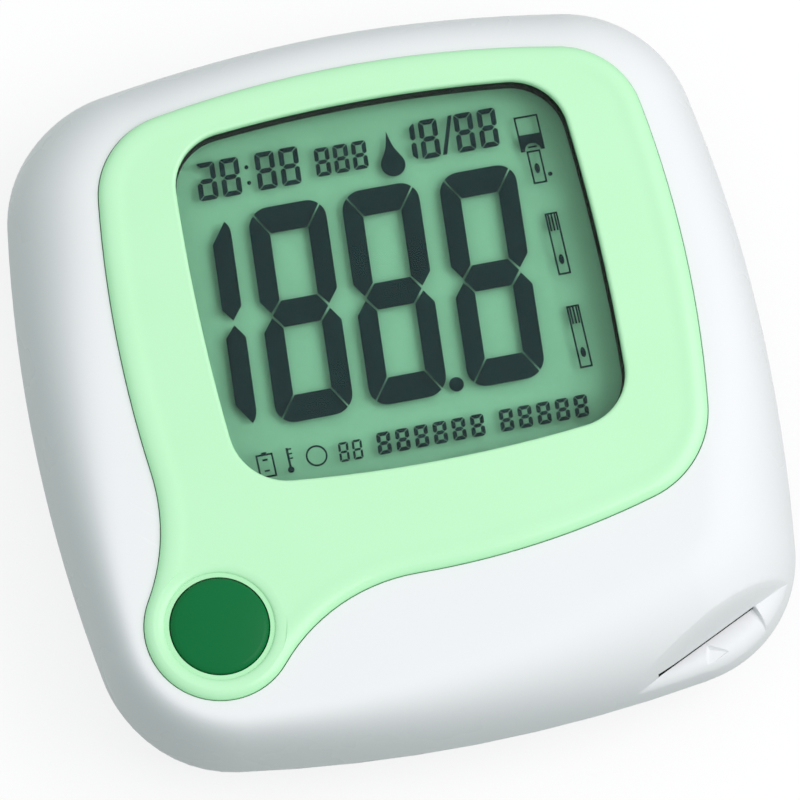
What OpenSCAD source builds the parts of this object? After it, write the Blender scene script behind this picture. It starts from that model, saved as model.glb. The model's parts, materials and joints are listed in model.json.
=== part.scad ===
// Blood glucose meter lying on its back: X to the right of the face, Y up the face, Z out of the face.
// The origin is the middle of the foot plane. All sizes are millimetres.

/* [Body] */
// Width and height of the pillow-shaped body
body_w = 86; // [84:0.5:92]
// Radius of the bulging side of the body
side_bulge_r = 178; // [150:1:220]
// Radius of the body's corners at the parting line
corner_r = 15.9; // [14:0.1:18]
// Height of the parting line above the table
seam_z = 10.5; // [10:0.1:11]
// Height of the front housing's flat crown
crown_z = 23.4; // [23.2:0.1:24.4]
// Width of the roll-over from flank to crown
roll_w = 7.5; // [6.8:0.1:7.8]
// Squareness of the roll-over along the sides, where 2 is an ellipse
roll_power = 3; // [2.4:0.1:3.2]
// Inward lean of the flank for each millimetre of height
flank_lean = 0.12; // [0.08:0.01:0.14]
// Share by which the crown swells towards the corner beside the main button
tail_swell = 0.6; // [0.5:0.05:0.65]
// Width of the curve from the parting line to the flat back
belly_w = 6; // [4:0.5:8]
// Thickness of the housing walls
wall = 2.2; // [1.8:0.1:2.4]
// Step that sets the rear housing back at the parting line
seam_step = 0.25; // [0.1:0.05:0.5]

/* [Fascia] */
// Height of the fascia's rim above the crown
fascia_rise = 0.9; // [0.6:0.1:1.2]
// Thickness of the fascia
fascia_t = 2.0; // [1.8:0.1:2.2]
// Width of the fascia's rounded rim
rim_w = 1.8; // [1.2:0.1:2.4]
// Depth of the field inside the rim
field_drop = 0.15; // [0.1:0.05:0.2]
// Radius of the tail round the main button
tail_r = 8.5; // [8:0.1:9]
// Gap between the fascia and the edge of its seat
seat_gap = 0.15; // [0.1:0.05:0.25]

/* [Display] */
// Middle of the window, across the face
window_x = 0.9; // [0:0.1:1.5]
// Distance from the body's top side to the window
window_drop = 11.75; // [11.5:0.05:12.5]
// Width of the window
window_w = 47.1; // [45:0.1:48]
// Height of the window
window_h = 44; // [42:0.1:44.5]
// Radius of the window's corners
window_r = 6.6; // [5:0.1:8]
// Thickness of the clear lens
lens_t = 1.0; // [0.8:0.1:1]
// Width of the lens's hidden border
lens_border = 1.1; // [0.8:0.1:1.3]
// Thickness of each display glass
glass_t = 0.9; // [0.7:0.1:0.9]
// Thickness of the printed liquid-crystal layer
ink_t = 0.1; // [0.08:0.01:0.12]
// Height of the three large numerals
numeral_h = 25.8; // [23:0.2:26]
// Width of the large numerals
numeral_w = 9.1; // [8:0.1:9.4]
// Lean of the numerals, in degrees
numeral_lean = 4.2; // [0:0.2:5]

/* [Main button] */
// Distance from the body's left side to the main button's middle
button_side = 15.1; // [14.7:0.1:15.5]
// Distance from the body's lower side to the main button's middle
button_end = 16; // [15.6:0.1:16.5]
// Diameter of the main button
button_d = 11.2; // [10:0.1:11.6]
// Height of the button's face above the fascia's rim
button_rise = 0.3; // [0.2:0.1:0.8]
// Travel of the main button
button_travel = 0.6; // [0.4:0.1:0.7]
// Gap round the main button
button_gap = 0.2; // [0.15:0.05:0.3]

/* [Strip port] */
// Angle of the strip slot to the X axis
port_angle = 25; // [22:1:28]
// Distance from the slot back to the corner's outermost rim
port_setback = 3.85; // [3.5:0.05:4.2]
// Shift of the slot's middle along its own line
port_shift = -3; // [-4:0.1:-2]
// Width of the strip slot
slot_w = 13.9; // [10:0.1:14]
// Height of the strip slot
slot_h = 1.0; // [0.8:0.1:1.2]
// Height of the ledge in front of the slot
ledge_z = 14; // [13.8:0.1:14.2]
// Height of the side facet above the ledge
facet_rise = 0.8; // [0.5:0.1:1.2]
// Width of a test strip
strip_w = 7; // [6:0.5:8]
// Thickness of a test strip
strip_t = 0.5; // [0.4:0.05:0.6]

/* [Circuit board] */
// Thickness of the circuit board
board_t = 1.4; // [1:0.1:1.6]
// Height of the board's underside
board_z = 16; // [15.9:0.1:16.2]
// Distance from the body's sides to the board's edges
board_inset = 8; // [7.5:0.5:9]
// Running clearance between loose-fitting pieces
fit_gap = 0.15; // [0.1:0.05:0.2]

/* [Batteries] */
// Diameter of a battery cell
cell_d = 10.5; // [10.5:0.1:10.5]
// Length of a battery cell with its button
cell_l = 44.5; // [44.5:0.1:44.5]
// Height of the compressed battery spring
spring_l = 4; // [3.5:0.1:4.5]
// Middle of the two cells, up the body
cells_y = 0; // [-1:0.1:1]
// Thickness of the battery door
door_t = 2; // [1.8:0.1:2.2]
// Width of the set button's bay beside the cells
bay_w = 8; // [7:0.5:9]
// Gap round the battery door
door_gap = 0.15; // [0.1:0.05:0.3]
// Diameter of the set button
set_d = 4.6; // [4:0.1:5]
// Travel of the set button
set_travel = 0.5; // [0.3:0.1:0.6]

/* [Feet and screws] */
// Diameter of the rubber feet
foot_d = 8; // [6:0.5:9]
// Height of the rubber feet below the back
foot_h = 0.8; // [0.6:0.1:1]
// Depth of the pockets that hold the feet
foot_seat = 0.7; // [0.5:0.1:0.9]
// Distance from the body's left and right sides to the feet's middles
foot_side = 22; // [21:0.5:25]
// Distance from the body's top and lower sides to the feet's middles
foot_end = 14; // [13:0.5:14.5]
// Shank diameter of the housing screws
screw_d = 2.2; // [2:0.1:2.4]
// Head diameter of the housing screws
screw_head_d = 4.2; // [3.8:0.1:4.4]
// Diameter of the screw bosses
boss_d = 6.4; // [6:0.1:6.6]

/* [Hidden] */

// A cut or a pin reaches this far past the face that it goes through
over = 1;
half = body_w / 2;
window_y = half - window_drop - window_h / 2;
button_x = button_side - half;
button_y = button_end - half;

// Heights
back_z = foot_h;
floor_z = back_z + wall;
crown_wall = 2;
ceiling_z = crown_z - crown_wall;
fascia_top = crown_z + fascia_rise;
fascia_z = fascia_top - fascia_t;
rim_h = 0.9;
field_z = fascia_top - field_drop;
board_top = board_z + board_t;
polarizer_t = 0.2;
polarizer_top = ceiling_z - fit_gap;
front_glass_top = polarizer_top - polarizer_t;
ink_top = front_glass_top - glass_t;
ink_z = ink_top - ink_t;
rear_glass_z = ink_z - glass_t;
reflector_t = 0.2;
reflector_z = rear_glass_z - reflector_t;

// Colours
white = "#eef2f3";
mint = "#c3f8ca";
button_green = "#1b7a45";
lcd_green = "#8aa898";
ink_grey = "#25333a";
board_green = "#2f6b3f";
chip_black = "#26282a";
steel = "#b9bdc0";
gold = "#c9a24a";

// ---- outlines made of arcs that touch each other -------------------------------------------------

function unit(v) = v / norm(v);
function angle_of(v) = atan2(v[1], v[0]);

// Crossing of two circles, on the left (s = 1) or the right (s = -1) of the line c1 to c2
function crossing(c1, r1, c2, r2, s) =
    let (d = norm(c2 - c1), u = unit(c2 - c1), a = (r1 * r1 - r2 * r2 + d * d) / (2 * d))
    c1 + a * u + s * sqrt(r1 * r1 - a * a) * [-u[1], u[0]];

// An arc is [centre, radius, 1 for an outward bulge or -1 for a hollow, steps]
function meeting(a, b) =
    a[2] > 0 && b[2] > 0 ? sign(a[1] - b[1]) * (b[0] - a[0]) : a[2] * (b[0] - a[0]);
function onward(a, from, turn) =
    turn > 0 ? (a < from ? a + 360 : a) : (a > from ? a - 360 : a);

// Points of a closed run of arcs, drawn in by a distance
function outline(arcs, inset = 0) =
    let (n = len(arcs))
    [for (i = [0:n - 1])
        let (arc = arcs[i], s = arc[2],
             first = angle_of(s * meeting(arcs[(i + n - 1) % n], arc)),
             last = onward(angle_of(s * meeting(arc, arcs[(i + 1) % n])), first, s))
        for (j = [0:arc[3] - 1])
            let (t = first + (last - first) * j / arc[3])
            arc[0] + (arc[1] - s * inset) * [cos(t), sin(t)]];

// A rectangle with bulging sides: corner radii run from the upper right, anticlockwise
function bulged_box(centre, half_size, bulge, corners, side_steps, corner_steps) =
    let (right = [centre + [half_size[0] - bulge[0], 0], bulge[0], 1, side_steps],
         top = [centre + [0, half_size[1] - bulge[1]], bulge[1], 1, side_steps],
         left = [centre - [half_size[0] - bulge[0], 0], bulge[0], 1, side_steps],
         bottom = [centre - [0, half_size[1] - bulge[1]], bulge[1], 1, side_steps],
         sides = [right, top, left, bottom])
    [for (i = [0:3])
        let (a = sides[i], b = sides[(i + 1) % 4], r = corners[i],
             c = crossing(a[0], a[1] - r, b[0], b[1] - r, 1))
        each [a, [c, r, 1, corner_steps]]];

function raised(points, z) = [for (p = points) [p[0], p[1], z]];

function middle_of(points) = [for (p = points) 1] * points / len(points);

// Solid through rings of equal count, from the lowest ring to the highest. Its two ends are fans of
// triangles round the ring's middle, so that hollow stretches of an outline stay open.
module ring_stack(rings) {
    n = len(rings[0]);
    m = len(rings);
    middles = [middle_of(rings[0]), middle_of(rings[m - 1])];
    sides = [for (i = [0:m - 2]) for (j = [0:n - 1])
        let (k = (j + 1) % n)
        each [[i * n + j, (i + 1) * n + j, (i + 1) * n + k], [i * n + j, (i + 1) * n + k, i * n + k]]];
    low = [for (j = [0:n - 1]) [j, (j + 1) % n, m * n]];
    high = [for (j = [0:n - 1]) [(m - 1) * n + (j + 1) % n, (m - 1) * n + j, m * n + 1]];
    polyhedron(concat([for (r = rings) each r], middles), concat(low, high, sides));
}

// ---- body shape ---------------------------------------------------------------------------------

rise = crown_z - seam_z;
body_arcs = bulged_box([0, 0], [half, half], [side_bulge_r, side_bulge_r],
                       [corner_r, corner_r, corner_r, corner_r], 8, 10);

// The crown draws back at three corners and swells at the fourth, and the roll-over is rounder there.
// The values belong to the corners at 45, 135, 225 and 315 degrees.
corner_reach = [0.15, 0.2, -tail_swell, 0.4];
corner_round = [0.5, 0.7, 0, 1.2];

// Share of four corner values that a point of the outline takes
function at_corners(p, values) =
    [for (i = [0:3]) pow(max(0, cos(angle_of(p) - 45 - 90 * i)), 6)] * values;

// Shares of the roll-over's width and height where it has turned by t degrees
function roll(t, power) =
    let (k = pow(pow(cos(t), power) + pow(sin(t), power), 1 / power))
    [1 - cos(t) / k, sin(t) / k];

// Ring of the front housing's surface at a turn of t degrees. Inside a skin the roll-over is narrower by
// the skin's thickness, which keeps the wall even.
function front_ring(t, skin, height) =
    let (rim = outline(body_arcs, skin), inner = outline(body_arcs, skin + 1))
    [for (i = [0:len(rim) - 1])
        let (turn = roll(t, roll_power - at_corners(rim[i], corner_round)),
             inset = (roll_w - skin) * turn[0] + flank_lean * rise * turn[1],
             p = rim[i] + (1 + at_corners(rim[i], corner_reach)) * inset * (inner[i] - rim[i]))
        [p[0], p[1], seam_z + height * turn[1]]];

function belly_inset(t) = seam_step + belly_w * (1 - cos(t));

module front_form(skin, top, rings) {
    ring_stack([for (i = [0:rings]) front_ring(90 * i / rings, skin, top - seam_z)]);
}

module rear_form(skin, base, rings) {
    height = seam_z - base;
    ring_stack([for (i = [rings:-1:0])
        let (t = 90 * i / rings)
        raised(outline(body_arcs, belly_inset(t) + skin), seam_z - height * sin(t))]);
}

// A straight-sided block with the body's outline
module body_slab(d, z0, z1) {
    translate([0, 0, z0])
        linear_extrude(z1 - z0) polygon(outline(body_arcs, d));
}

// ---- fascia and window outlines -----------------------------------------------------------------

// Each side is [distance of its highest point, place of that point along the side, bulge radius]
right_side = [half - 9.05, 8.2, 132];
top_side = [half - 7.25, 0.5, 132];
left_side = [half - 10.6, 5.7, 142];
bottom_side = [half - 17.9, -2.6, 98];
right_top_r = 9.7;
left_top_r = 10.2;
right_bottom_r = 11.8;
tail_blend_left = 24;
tail_blend_right = 22;
side_steps = 7;
corner_steps = 8;

fascia_arcs =
    let (right = [[right_side[0] - right_side[2], right_side[1]], right_side[2], 1, side_steps],
         top = [[top_side[1], top_side[0] - top_side[2]], top_side[2], 1, side_steps],
         left = [[left_side[2] - left_side[0], left_side[1]], left_side[2], 1, side_steps],
         bottom = [[bottom_side[1], bottom_side[2] - bottom_side[0]], bottom_side[2], 1, side_steps],
         tail = [[button_x, button_y], tail_r, 1, 2 * corner_steps],
         a = tail_blend_left, b = tail_blend_right)
    [right,
     [crossing(right[0], right[1] - right_top_r, top[0], top[1] - right_top_r, 1),
      right_top_r, 1, corner_steps],
     top,
     [crossing(top[0], top[1] - left_top_r, left[0], left[1] - left_top_r, 1),
      left_top_r, 1, corner_steps],
     left,
     [crossing(left[0], left[1] + a, tail[0], tail_r + a, -1), a, -1, corner_steps],
     tail,
     [crossing(tail[0], tail_r + b, bottom[0], bottom[1] + b, -1), b, -1, corner_steps],
     bottom,
     [crossing(bottom[0], bottom[1] - right_bottom_r, right[0], right[1] - right_bottom_r, 1),
      right_bottom_r, 1, corner_steps]];

window_bulge = [240, 166];
window_arcs = bulged_box([window_x, window_y], [window_w, window_h] / 2, window_bulge,
                         [window_r, window_r, window_r, window_r], 4, 6);

module window_slab(grow, z0, z1) {
    translate([0, 0, z0])
        linear_extrude(z1 - z0) polygon(outline(window_arcs, -grow));
}

module at_window(z) {
    translate([window_x, window_y, z]) children();
}

module at_button(z) {
    translate([button_x, button_y, z]) children();
}

// ---- strip port ---------------------------------------------------------------------------------

// The port stands in a frame turned by port_angle: x along the slot, y into the body
corner_c = body_arcs[7][0];
port_out = [sin(port_angle), -cos(port_angle)];
port_along = [cos(port_angle), sin(port_angle)];
port_pos = corner_c + (corner_r - port_setback) * port_out + port_shift * port_along;
slot_top = ledge_z + slot_h;
port_wall = 1.8;
scoop_lean = 0.24;
scoop_depth = 10;
scoop_height = 12;
ledge_slope = 0.06;
scoop_reach = 20;

module at_port(z = 0) {
    translate([port_pos[0], port_pos[1], z]) rotate([0, 0, port_angle]) children();
}

// Air above a ledge that falls away from height z0, from x0 to x1 along the slot
module scoop_cut(x0, x1, z0) {
    translate([x0, 0, 0])
        rotate([90, 0, 90])
            linear_extrude(x1 - x0)
                polygon([[0, z0],
                         [0, slot_top],
                         [scoop_lean * scoop_height, slot_top + scoop_height],
                         [-scoop_depth, slot_top + scoop_height],
                         [-scoop_depth, z0 - ledge_slope * scoop_depth]]);
}

// Solid that backs the scoop: the ledge's floor and the wall behind it
module port_block() {
    translate([-scoop_reach, 0, 0])
        rotate([90, 0, 90])
            linear_extrude(2 * scoop_reach)
                polygon([[port_wall, ledge_z - port_wall],
                         [port_wall, slot_top],
                         [port_wall + scoop_lean * scoop_height, slot_top + scoop_height],
                         [-scoop_depth, slot_top + scoop_height],
                         [-scoop_depth, ledge_z - port_wall]]);
}

mark_w = 3.4;
mark_l = 1.9;
mark_depth = 0.3;
mark_back = 0.5;

// Sunk triangle in the ledge that shows which way a strip goes in
module port_mark() {
    translate([0, 0, ledge_z - ledge_slope * mark_back - mark_depth])
        linear_extrude(mark_depth + over)
            polygon([[0, -mark_back],
                     [-mark_w / 2, -mark_back - mark_l],
                     [mark_w / 2, -mark_back - mark_l]]);
}

// ---- screws, bosses and feet ----------------------------------------------------------------------

screw_spots = [[half - 11.8, half - 12.5], [11.8 - half, half - 12.5],
               [half - 12.4, 23 - half], [12.6 - half, 29 - half]];
screw_head_h = 1.8;
screw_seat_z = 6;
screw_tip_z = board_z - 0.6;
boss_hole_d = screw_d - 0.3;
board_spots = [[12 - half, 12], [half - 10.4, 4], [12, 12 - half]];
post_d = 4.6;
board_screw_d = 1.8;
board_screw_head_d = 3.4;
board_screw_head_h = 1.1;
board_screw_tip_z = ceiling_z - 1;

module at_each(spots, z = 0) {
    for (p = spots)
        translate([p[0], p[1], z]) children();
}

foot_spots = [for (sx = [-1, 1]) for (sy = [-1, 1]) [sx * (half - foot_side), sy * (half - foot_end)]];

// ---- battery bay --------------------------------------------------------------------------------

cell_space = 0.5;
cell_pitch = cell_d + cell_space;
plate_t = 0.4;
bay_l = cell_l + spring_l + 2 * plate_t + 0.2;
bay_low_y = cells_y - cell_pitch - 0.4;
cells_top_y = cells_y + cell_pitch + 0.4;
bay_high_y = cells_top_y + bay_w;
door_top_z = back_z + door_t;
cell_z = door_top_z + 0.2 + cell_d / 2;
roof_z = cell_z + cell_d / 2 + 0.4;
roof_t = 1.2;
set_roof_z = 9.2;
set_x = 0;
set_y = (cells_top_y + bay_high_y) / 2 + 1;
cell_x = -bay_l / 2 + plate_t + spring_l;
bay_wall = 1.5;
lip_w = 1.7;
tab_l = 1.5;
tab_w = 9;
tab_h = 0.8;
tab_x = 15;
hinge_y = bay_high_y;
door_low_y = bay_low_y;

module bay_box(x, y0, y1, z0, z1, grow = 0) {
    translate([-x / 2 - grow, y0 - grow, z0])
        cube([x + 2 * grow, y1 - y0 + 2 * grow, z1 - z0]);
}

// ---- housings -----------------------------------------------------------------------------------

lip_h = 1.6;
lip_t = 0.9;

module front_housing() {
    color(white)
        difference() {
            union() {
                difference() {
                    front_form(0, crown_z, 9);
                    front_cavity();
                }
                intersection() {
                    front_form(0, crown_z, 9);
                    union() {
                        at_port() port_block();
                        front_posts();
                    }
                }
            }
            port_cuts();
            fascia_seat();
            window_slab(0, ceiling_z - over, crown_z + over);
            at_button(button_hole_z)
                cylinder(h = crown_z - button_hole_z + over, d = button_d + 2 * button_flange, $fn = 64);
            at_each(screw_spots, seam_z - over)
                cylinder(h = screw_tip_z + 1 - seam_z + over, d = boss_hole_d, $fn = 24);
            at_each(board_spots, board_top - over)
                cylinder(h = board_screw_tip_z - board_top + over, d = board_screw_d - 0.3, $fn = 24);
        }
}

// Hollow of the front housing, with the step that takes the rear housing's lip
module front_cavity() {
    front_form(wall, ceiling_z, 7);
    body_slab(wall, seam_z - over, seam_z + 0.01);
    body_slab(seam_step + wall - lip_t - fit_gap, seam_z - over, seam_z + lip_h + fit_gap);
}

module front_posts() {
    at_each(screw_spots, seam_z + lip_h + 0.4)
        cylinder(h = ceiling_z - seam_z - lip_h, d = boss_d, $fn = 32);
    at_each(board_spots, board_top)
        cylinder(h = ceiling_z - board_top + 0.4, d = post_d, $fn = 28);
}

module port_cuts() {
    at_port() {
        scoop_cut(-scoop_reach, slot_w / 2, ledge_z);
        scoop_cut(-scoop_reach, scoop_reach, ledge_z + facet_rise);
        translate([-slot_w / 2, -over, ledge_z])
            cube([slot_w, port_wall + 2 * over, slot_h]);
        port_mark();
    }
}

module fascia_seat() {
    translate([0, 0, fascia_z])
        linear_extrude(fascia_t + over) polygon(outline(fascia_arcs, -seat_gap));
}

module rear_housing() {
    color(white)
        difference() {
            union() {
                difference() {
                    rear_form(0, back_z, 7);
                    rear_form(wall, floor_z, 5);
                    body_slab(wall + seam_step, seam_z - 0.01, seam_z + over);
                }
                rear_lip();
                intersection() {
                    union() {
                        rear_form(0, back_z, 7);
                        body_slab(seam_step + wall, seam_z, board_z);
                    }
                    rear_bosses();
                }
                bay_shell();
            }
            bay_hollow();
            at_each(screw_spots, back_z - over)
                cylinder(h = screw_seat_z - back_z + over, d = screw_head_d + 0.6, $fn = 32);
            at_each(screw_spots, 0)
                cylinder(h = board_z, d = screw_d + 0.4, $fn = 24);
            at_each(foot_spots, back_z - over)
                cylinder(h = foot_seat + over, d = foot_d + 2 * fit_gap, $fn = 48);
        }
}

module rear_lip() {
    difference() {
        body_slab(seam_step + wall - lip_t, seam_z - 1.2, seam_z + lip_h);
        body_slab(seam_step + wall, seam_z - 2, seam_z + lip_h + over);
    }
}

module rear_bosses() {
    at_each(screw_spots, floor_z - 0.5)
        cylinder(h = seam_z + lip_h + 0.2 - floor_z + 0.5, d = boss_d, $fn = 32);
}

module bay_shell() {
    bay_box(bay_l, bay_low_y, cells_top_y, floor_z - 0.5, roof_z + roof_t, bay_wall);
    bay_box(bay_l, cells_top_y, bay_high_y + lip_w, floor_z - 0.5, set_roof_z + roof_t, bay_wall);
}

module bay_hollow() {
    bay_box(bay_l, bay_low_y, cells_top_y, back_z - over, roof_z);
    bay_box(bay_l, cells_top_y - over, bay_high_y, back_z - over, set_roof_z);
    bay_box(bay_l, bay_high_y - over, bay_high_y + lip_w, door_top_z, set_roof_z);
    bay_box(bay_l, door_low_y, hinge_y, back_z - over, door_top_z, door_gap);
    translate([set_x, set_y, set_roof_z - over])
        cylinder(h = roof_t + 2 * over, d = set_d + 2 * fit_gap, $fn = 36);
    for (s = [-1, 1])
        translate([-bay_l / 2 - fit_gap, cells_y + (s * cell_pitch - terminal_w) / 2 - fit_gap, roof_z - over])
            cube([plate_t + 2 * fit_gap, terminal_w + 2 * fit_gap, roof_t + 2 * over]);
}

// ---- fascia and display ---------------------------------------------------------------------------

button_flange = 0.8;
button_hole_z = board_top + 0.5;
flange_room = 0.6;
flange_gap = 0.2;
dish_w = 0.45;
dish_depth = 0.35;
shoulder_r = 1.0;
shoulder_h = dish_depth + 0.03;

module fascia() {
    rim_base = fascia_top - rim_h;
    color(mint)
        difference() {
            ring_stack(concat(
                [raised(outline(fascia_arcs), fascia_z)],
                [for (i = [0:5])
                    let (t = 18 * i)
                    raised(outline(fascia_arcs, rim_w * (1 - cos(t))), rim_base + rim_h * sin(t))],
                [raised(outline(fascia_arcs, rim_w + 0.5), field_z)]));
            window_slab(0, fascia_z - over, fascia_top + over);
            window_slab(lens_border, fascia_z - over, fascia_z + lens_t);
            at_button(fascia_z - over)
                cylinder(h = fascia_t + 2 * over, d = button_d + 2 * button_gap, $fn = 72);
            at_button(fascia_z - over)
                cylinder(h = over + flange_room, d = button_d + 2 * button_flange, $fn = 72);
            at_button(0) button_dish();
        }
}

// Dish round the button: a flat ledge, then a shoulder that rounds up to the field
module button_dish() {
    ledge_r = button_d / 2 + dish_w + button_gap;
    rotate_extrude($fn = 72)
        difference() {
            translate([0, field_z - dish_depth])
                square([ledge_r + shoulder_r, dish_depth + over]);
            translate([ledge_r + shoulder_r, field_z - dish_depth])
                scale([1, shoulder_h / shoulder_r]) circle(r = shoulder_r, $fn = 48);
        }
}

module display_lens() {
    color("#e8f4f0", 0.3)
        window_slab(lens_border - fit_gap, fascia_z, fascia_z + lens_t - 0.05);
}

// The glasses reach past the window all round; the front one has a contact edge below the rear one
glass_margin = 1.2;
contact_edge = 3;
glass_w = window_w + 2 * glass_margin;
glass_high = window_h / 2 + glass_margin;
glass_low = -glass_high;
front_low = glass_low - contact_edge;

// Plate of a display part, from y0 to y1 below and above the window's middle
module glass_plate(y0, y1, z0, t, grow = 0) {
    at_window(z0)
        translate([-glass_w / 2 - grow, y0 - grow, 0])
            cube([glass_w + 2 * grow, y1 - y0 + 2 * grow, t]);
}

module front_polarizer() {
    color("#cfd8c8", 0.4)
        glass_plate(glass_low, glass_high, front_glass_top, polarizer_t, -0.5);
}

module lcd_front_glass() {
    color("#dfeee6", 0.3) glass_plate(front_low, glass_high, ink_top, glass_t);
}

module lcd_rear_glass() {
    color("#dfeee6", 0.3) glass_plate(glass_low, glass_high, rear_glass_z, glass_t);
}

module lcd_reflector() {
    color(lcd_green) glass_plate(glass_low, glass_high, reflector_z, reflector_t, -0.3);
}

// Glue line that seals the two glasses all round
module lcd_seal() {
    line = 0.8;
    color("#c8c4a8")
        difference() {
            glass_plate(glass_low, glass_high, ink_z, ink_t);
            glass_plate(glass_low, glass_high, ink_z - over, 2 * over, -line);
        }
}

frame_wall = 0.7;
zebra_w = 1.6;
zebra_y = front_low + 0.4;

// Tray that carries the display above the board, with a slot for the striped connector
module lcd_frame() {
    tray_top = front_glass_top - 0.3;
    color("#e6e8e6")
        difference() {
            glass_plate(front_low, glass_high, board_top, tray_top - board_top, fit_gap + frame_wall);
            glass_plate(front_low, glass_high, ink_top - 0.1, 2 * over, fit_gap);
            glass_plate(glass_low, glass_high, reflector_z, 2 * over, fit_gap);
            at_window(board_top - over)
                translate([-glass_w / 2, zebra_y - 0.05, 0])
                    cube([glass_w, zebra_w + 0.1, ink_top - board_top + 2 * over]);
        }
}

// Striped rubber that joins the display's contacts to the board
module zebra_connector() {
    color("#d98a9a")
        at_window(board_top)
            translate([-glass_w / 2 + 0.3, zebra_y, 0])
                cube([glass_w - 0.6, zebra_w, ink_top - board_top]);
}

// ---- numerals and signs ---------------------------------------------------------------------------

function leaned(points) = [for (p = points) [p[0] + p[1] * tan(numeral_lean), p[1]]];
function flipped_x(points, w) = [for (p = points) [w - p[0], p[1]]];
function flipped_y(points, h) = [for (p = points) [p[0], h - p[1]]];
function bend(x, y, r, from, to) =
    [for (k = [0:3]) let (a = from + (to - from) * k / 3) [x + r * cos(a), y + r * sin(a)]];

// Seven segments in the order top, upper right, lower right, bottom, lower left, upper left, middle.
// tv and th are the thicknesses of the upright and the level ones, r rounds the corners, g is the gap
function segment_shapes(w, h, tv, th, r, g) =
    let (m = h / 2,
         top = concat(bend(r + g, h - r, r, 135, 90), bend(w - r - g, h - r, r, 90, 45),
                      [[w - tv - g, h - th], [tv + g, h - th]]),
         left = concat(bend(r, h - r - g, r, 180, 135),
                       [[tv, h - th - g], [tv, m + th / 2 + g], [tv / 2, m + 2 * g], [0, m + 0.6 * th]]),
         right = flipped_x(left, w))
    [top, right, flipped_y(right, h), flipped_y(top, h), flipped_y(left, h), left,
     [[tv / 2 + g, m], [tv + g, m + th / 2], [w - tv - g, m + th / 2], [w - tv / 2 - g, m],
      [w - tv - g, m - th / 2], [tv + g, m - th / 2]]];

module ink_shape(points) {
    linear_extrude(ink_t) polygon(points);
}

// A size is [width, height, upright thickness, level thickness, corner radius, gap]
module numeral(x, y, size, lit = [0:6]) {
    shapes = segment_shapes(size[0], size[1], size[2], size[3], size[4], size[5]);
    translate([x, y, 0])
        for (i = lit)
            ink_shape(leaned(shapes[i]));
}

module dot(x, y, d) {
    translate([x, y, 0]) cylinder(h = ink_t, d = d, $fn = 24);
}

module bar(x, y, w, h) {
    translate([x, y, 0]) cube([w, h, ink_t]);
}

module hoop(x, y, w, h, t) {
    difference() {
        bar(x, y, w, h);
        translate([x + t, y + t, -over]) cube([w - 2 * t, h - 2 * t, 2 * over]);
    }
}

one = [1, 2];
numeral_low = -13.45;
big_size = [numeral_w, numeral_h, 2.3, 3.15, 2.1, 0.15];
time_size = [2.27, 4.54, 0.6, 0.56, 0.35, 0.06];
date_size = [2.2, 4.68, 0.6, 0.6, 0.35, 0.06];
code_size = [1.75, 3.4, 0.5, 0.46, 0.3, 0.06];
unit_size = [1.6, 2.6, 0.48, 0.44, 0.3, 0.05];
thin_size = [1.15, 2.3, 0.26, 0.26, 0.2, 0.05];
icon_line = 0.2;

// A test strip seen from above: outline, contact bars at the top and the sample spot
module strip_sign(x, y, w, h, bars) {
    hoop(x, y, w, h, icon_line);
    for (i = [1:bars])
        bar(x + w * i / (bars + 1) - icon_line / 2, y + h - 2.2, icon_line, 2.1);
    translate([x + w / 2, y + 1.85, 0]) scale([0.5, 1, 1]) cylinder(h = ink_t, d = 1.2, $fn = 20);
}

// Slot of the meter with a strip that enters it
module slot_sign(x, y) {
    hoop(x, y + 1.8, 2.83, 2.5, icon_line);
    difference() {
        bar(x, y, 2.83, 1.8);
        translate([x + 1.42, y, -over]) cylinder(h = 2 * over, r = 0.95, $fn = 24);
    }
    bar(x + 0.9, y + 0.35, 1.04, icon_line);
    strip_sign(x + 0.6, y - 4.05, 1.62, 4.05, 0);
    dot(x + 2.75, y - 3.15, 0.5);
}

module drop_sign(x, y) {
    r = 1.42;
    dot(x, y, 2 * r);
    ink_shape([[x - 0.91 * r, y + 0.42 * r], [x - 0.5, y + 2], [x - 0.22, y + 3], [x, y + 4.08],
               [x + 0.22, y + 3], [x + 0.5, y + 2], [x + 0.91 * r, y + 0.42 * r]]);
}

module battery_sign(x, y) {
    hoop(x, y, 2, 2.8, icon_line);
    bar(x + 0.7, y + 2.8, 0.6, icon_line);
    for (v = [0.7, 2])
        bar(x + 0.7, y + v, 0.6, icon_line);
}

module thermometer_sign(x, y) {
    bar(x - 0.13, y, 0.26, 2.6);
    dot(x, y, 0.75);
    for (i = [1:3])
        bar(x, y + 0.55 * i + 0.7, 0.5, 0.15);
}

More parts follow.
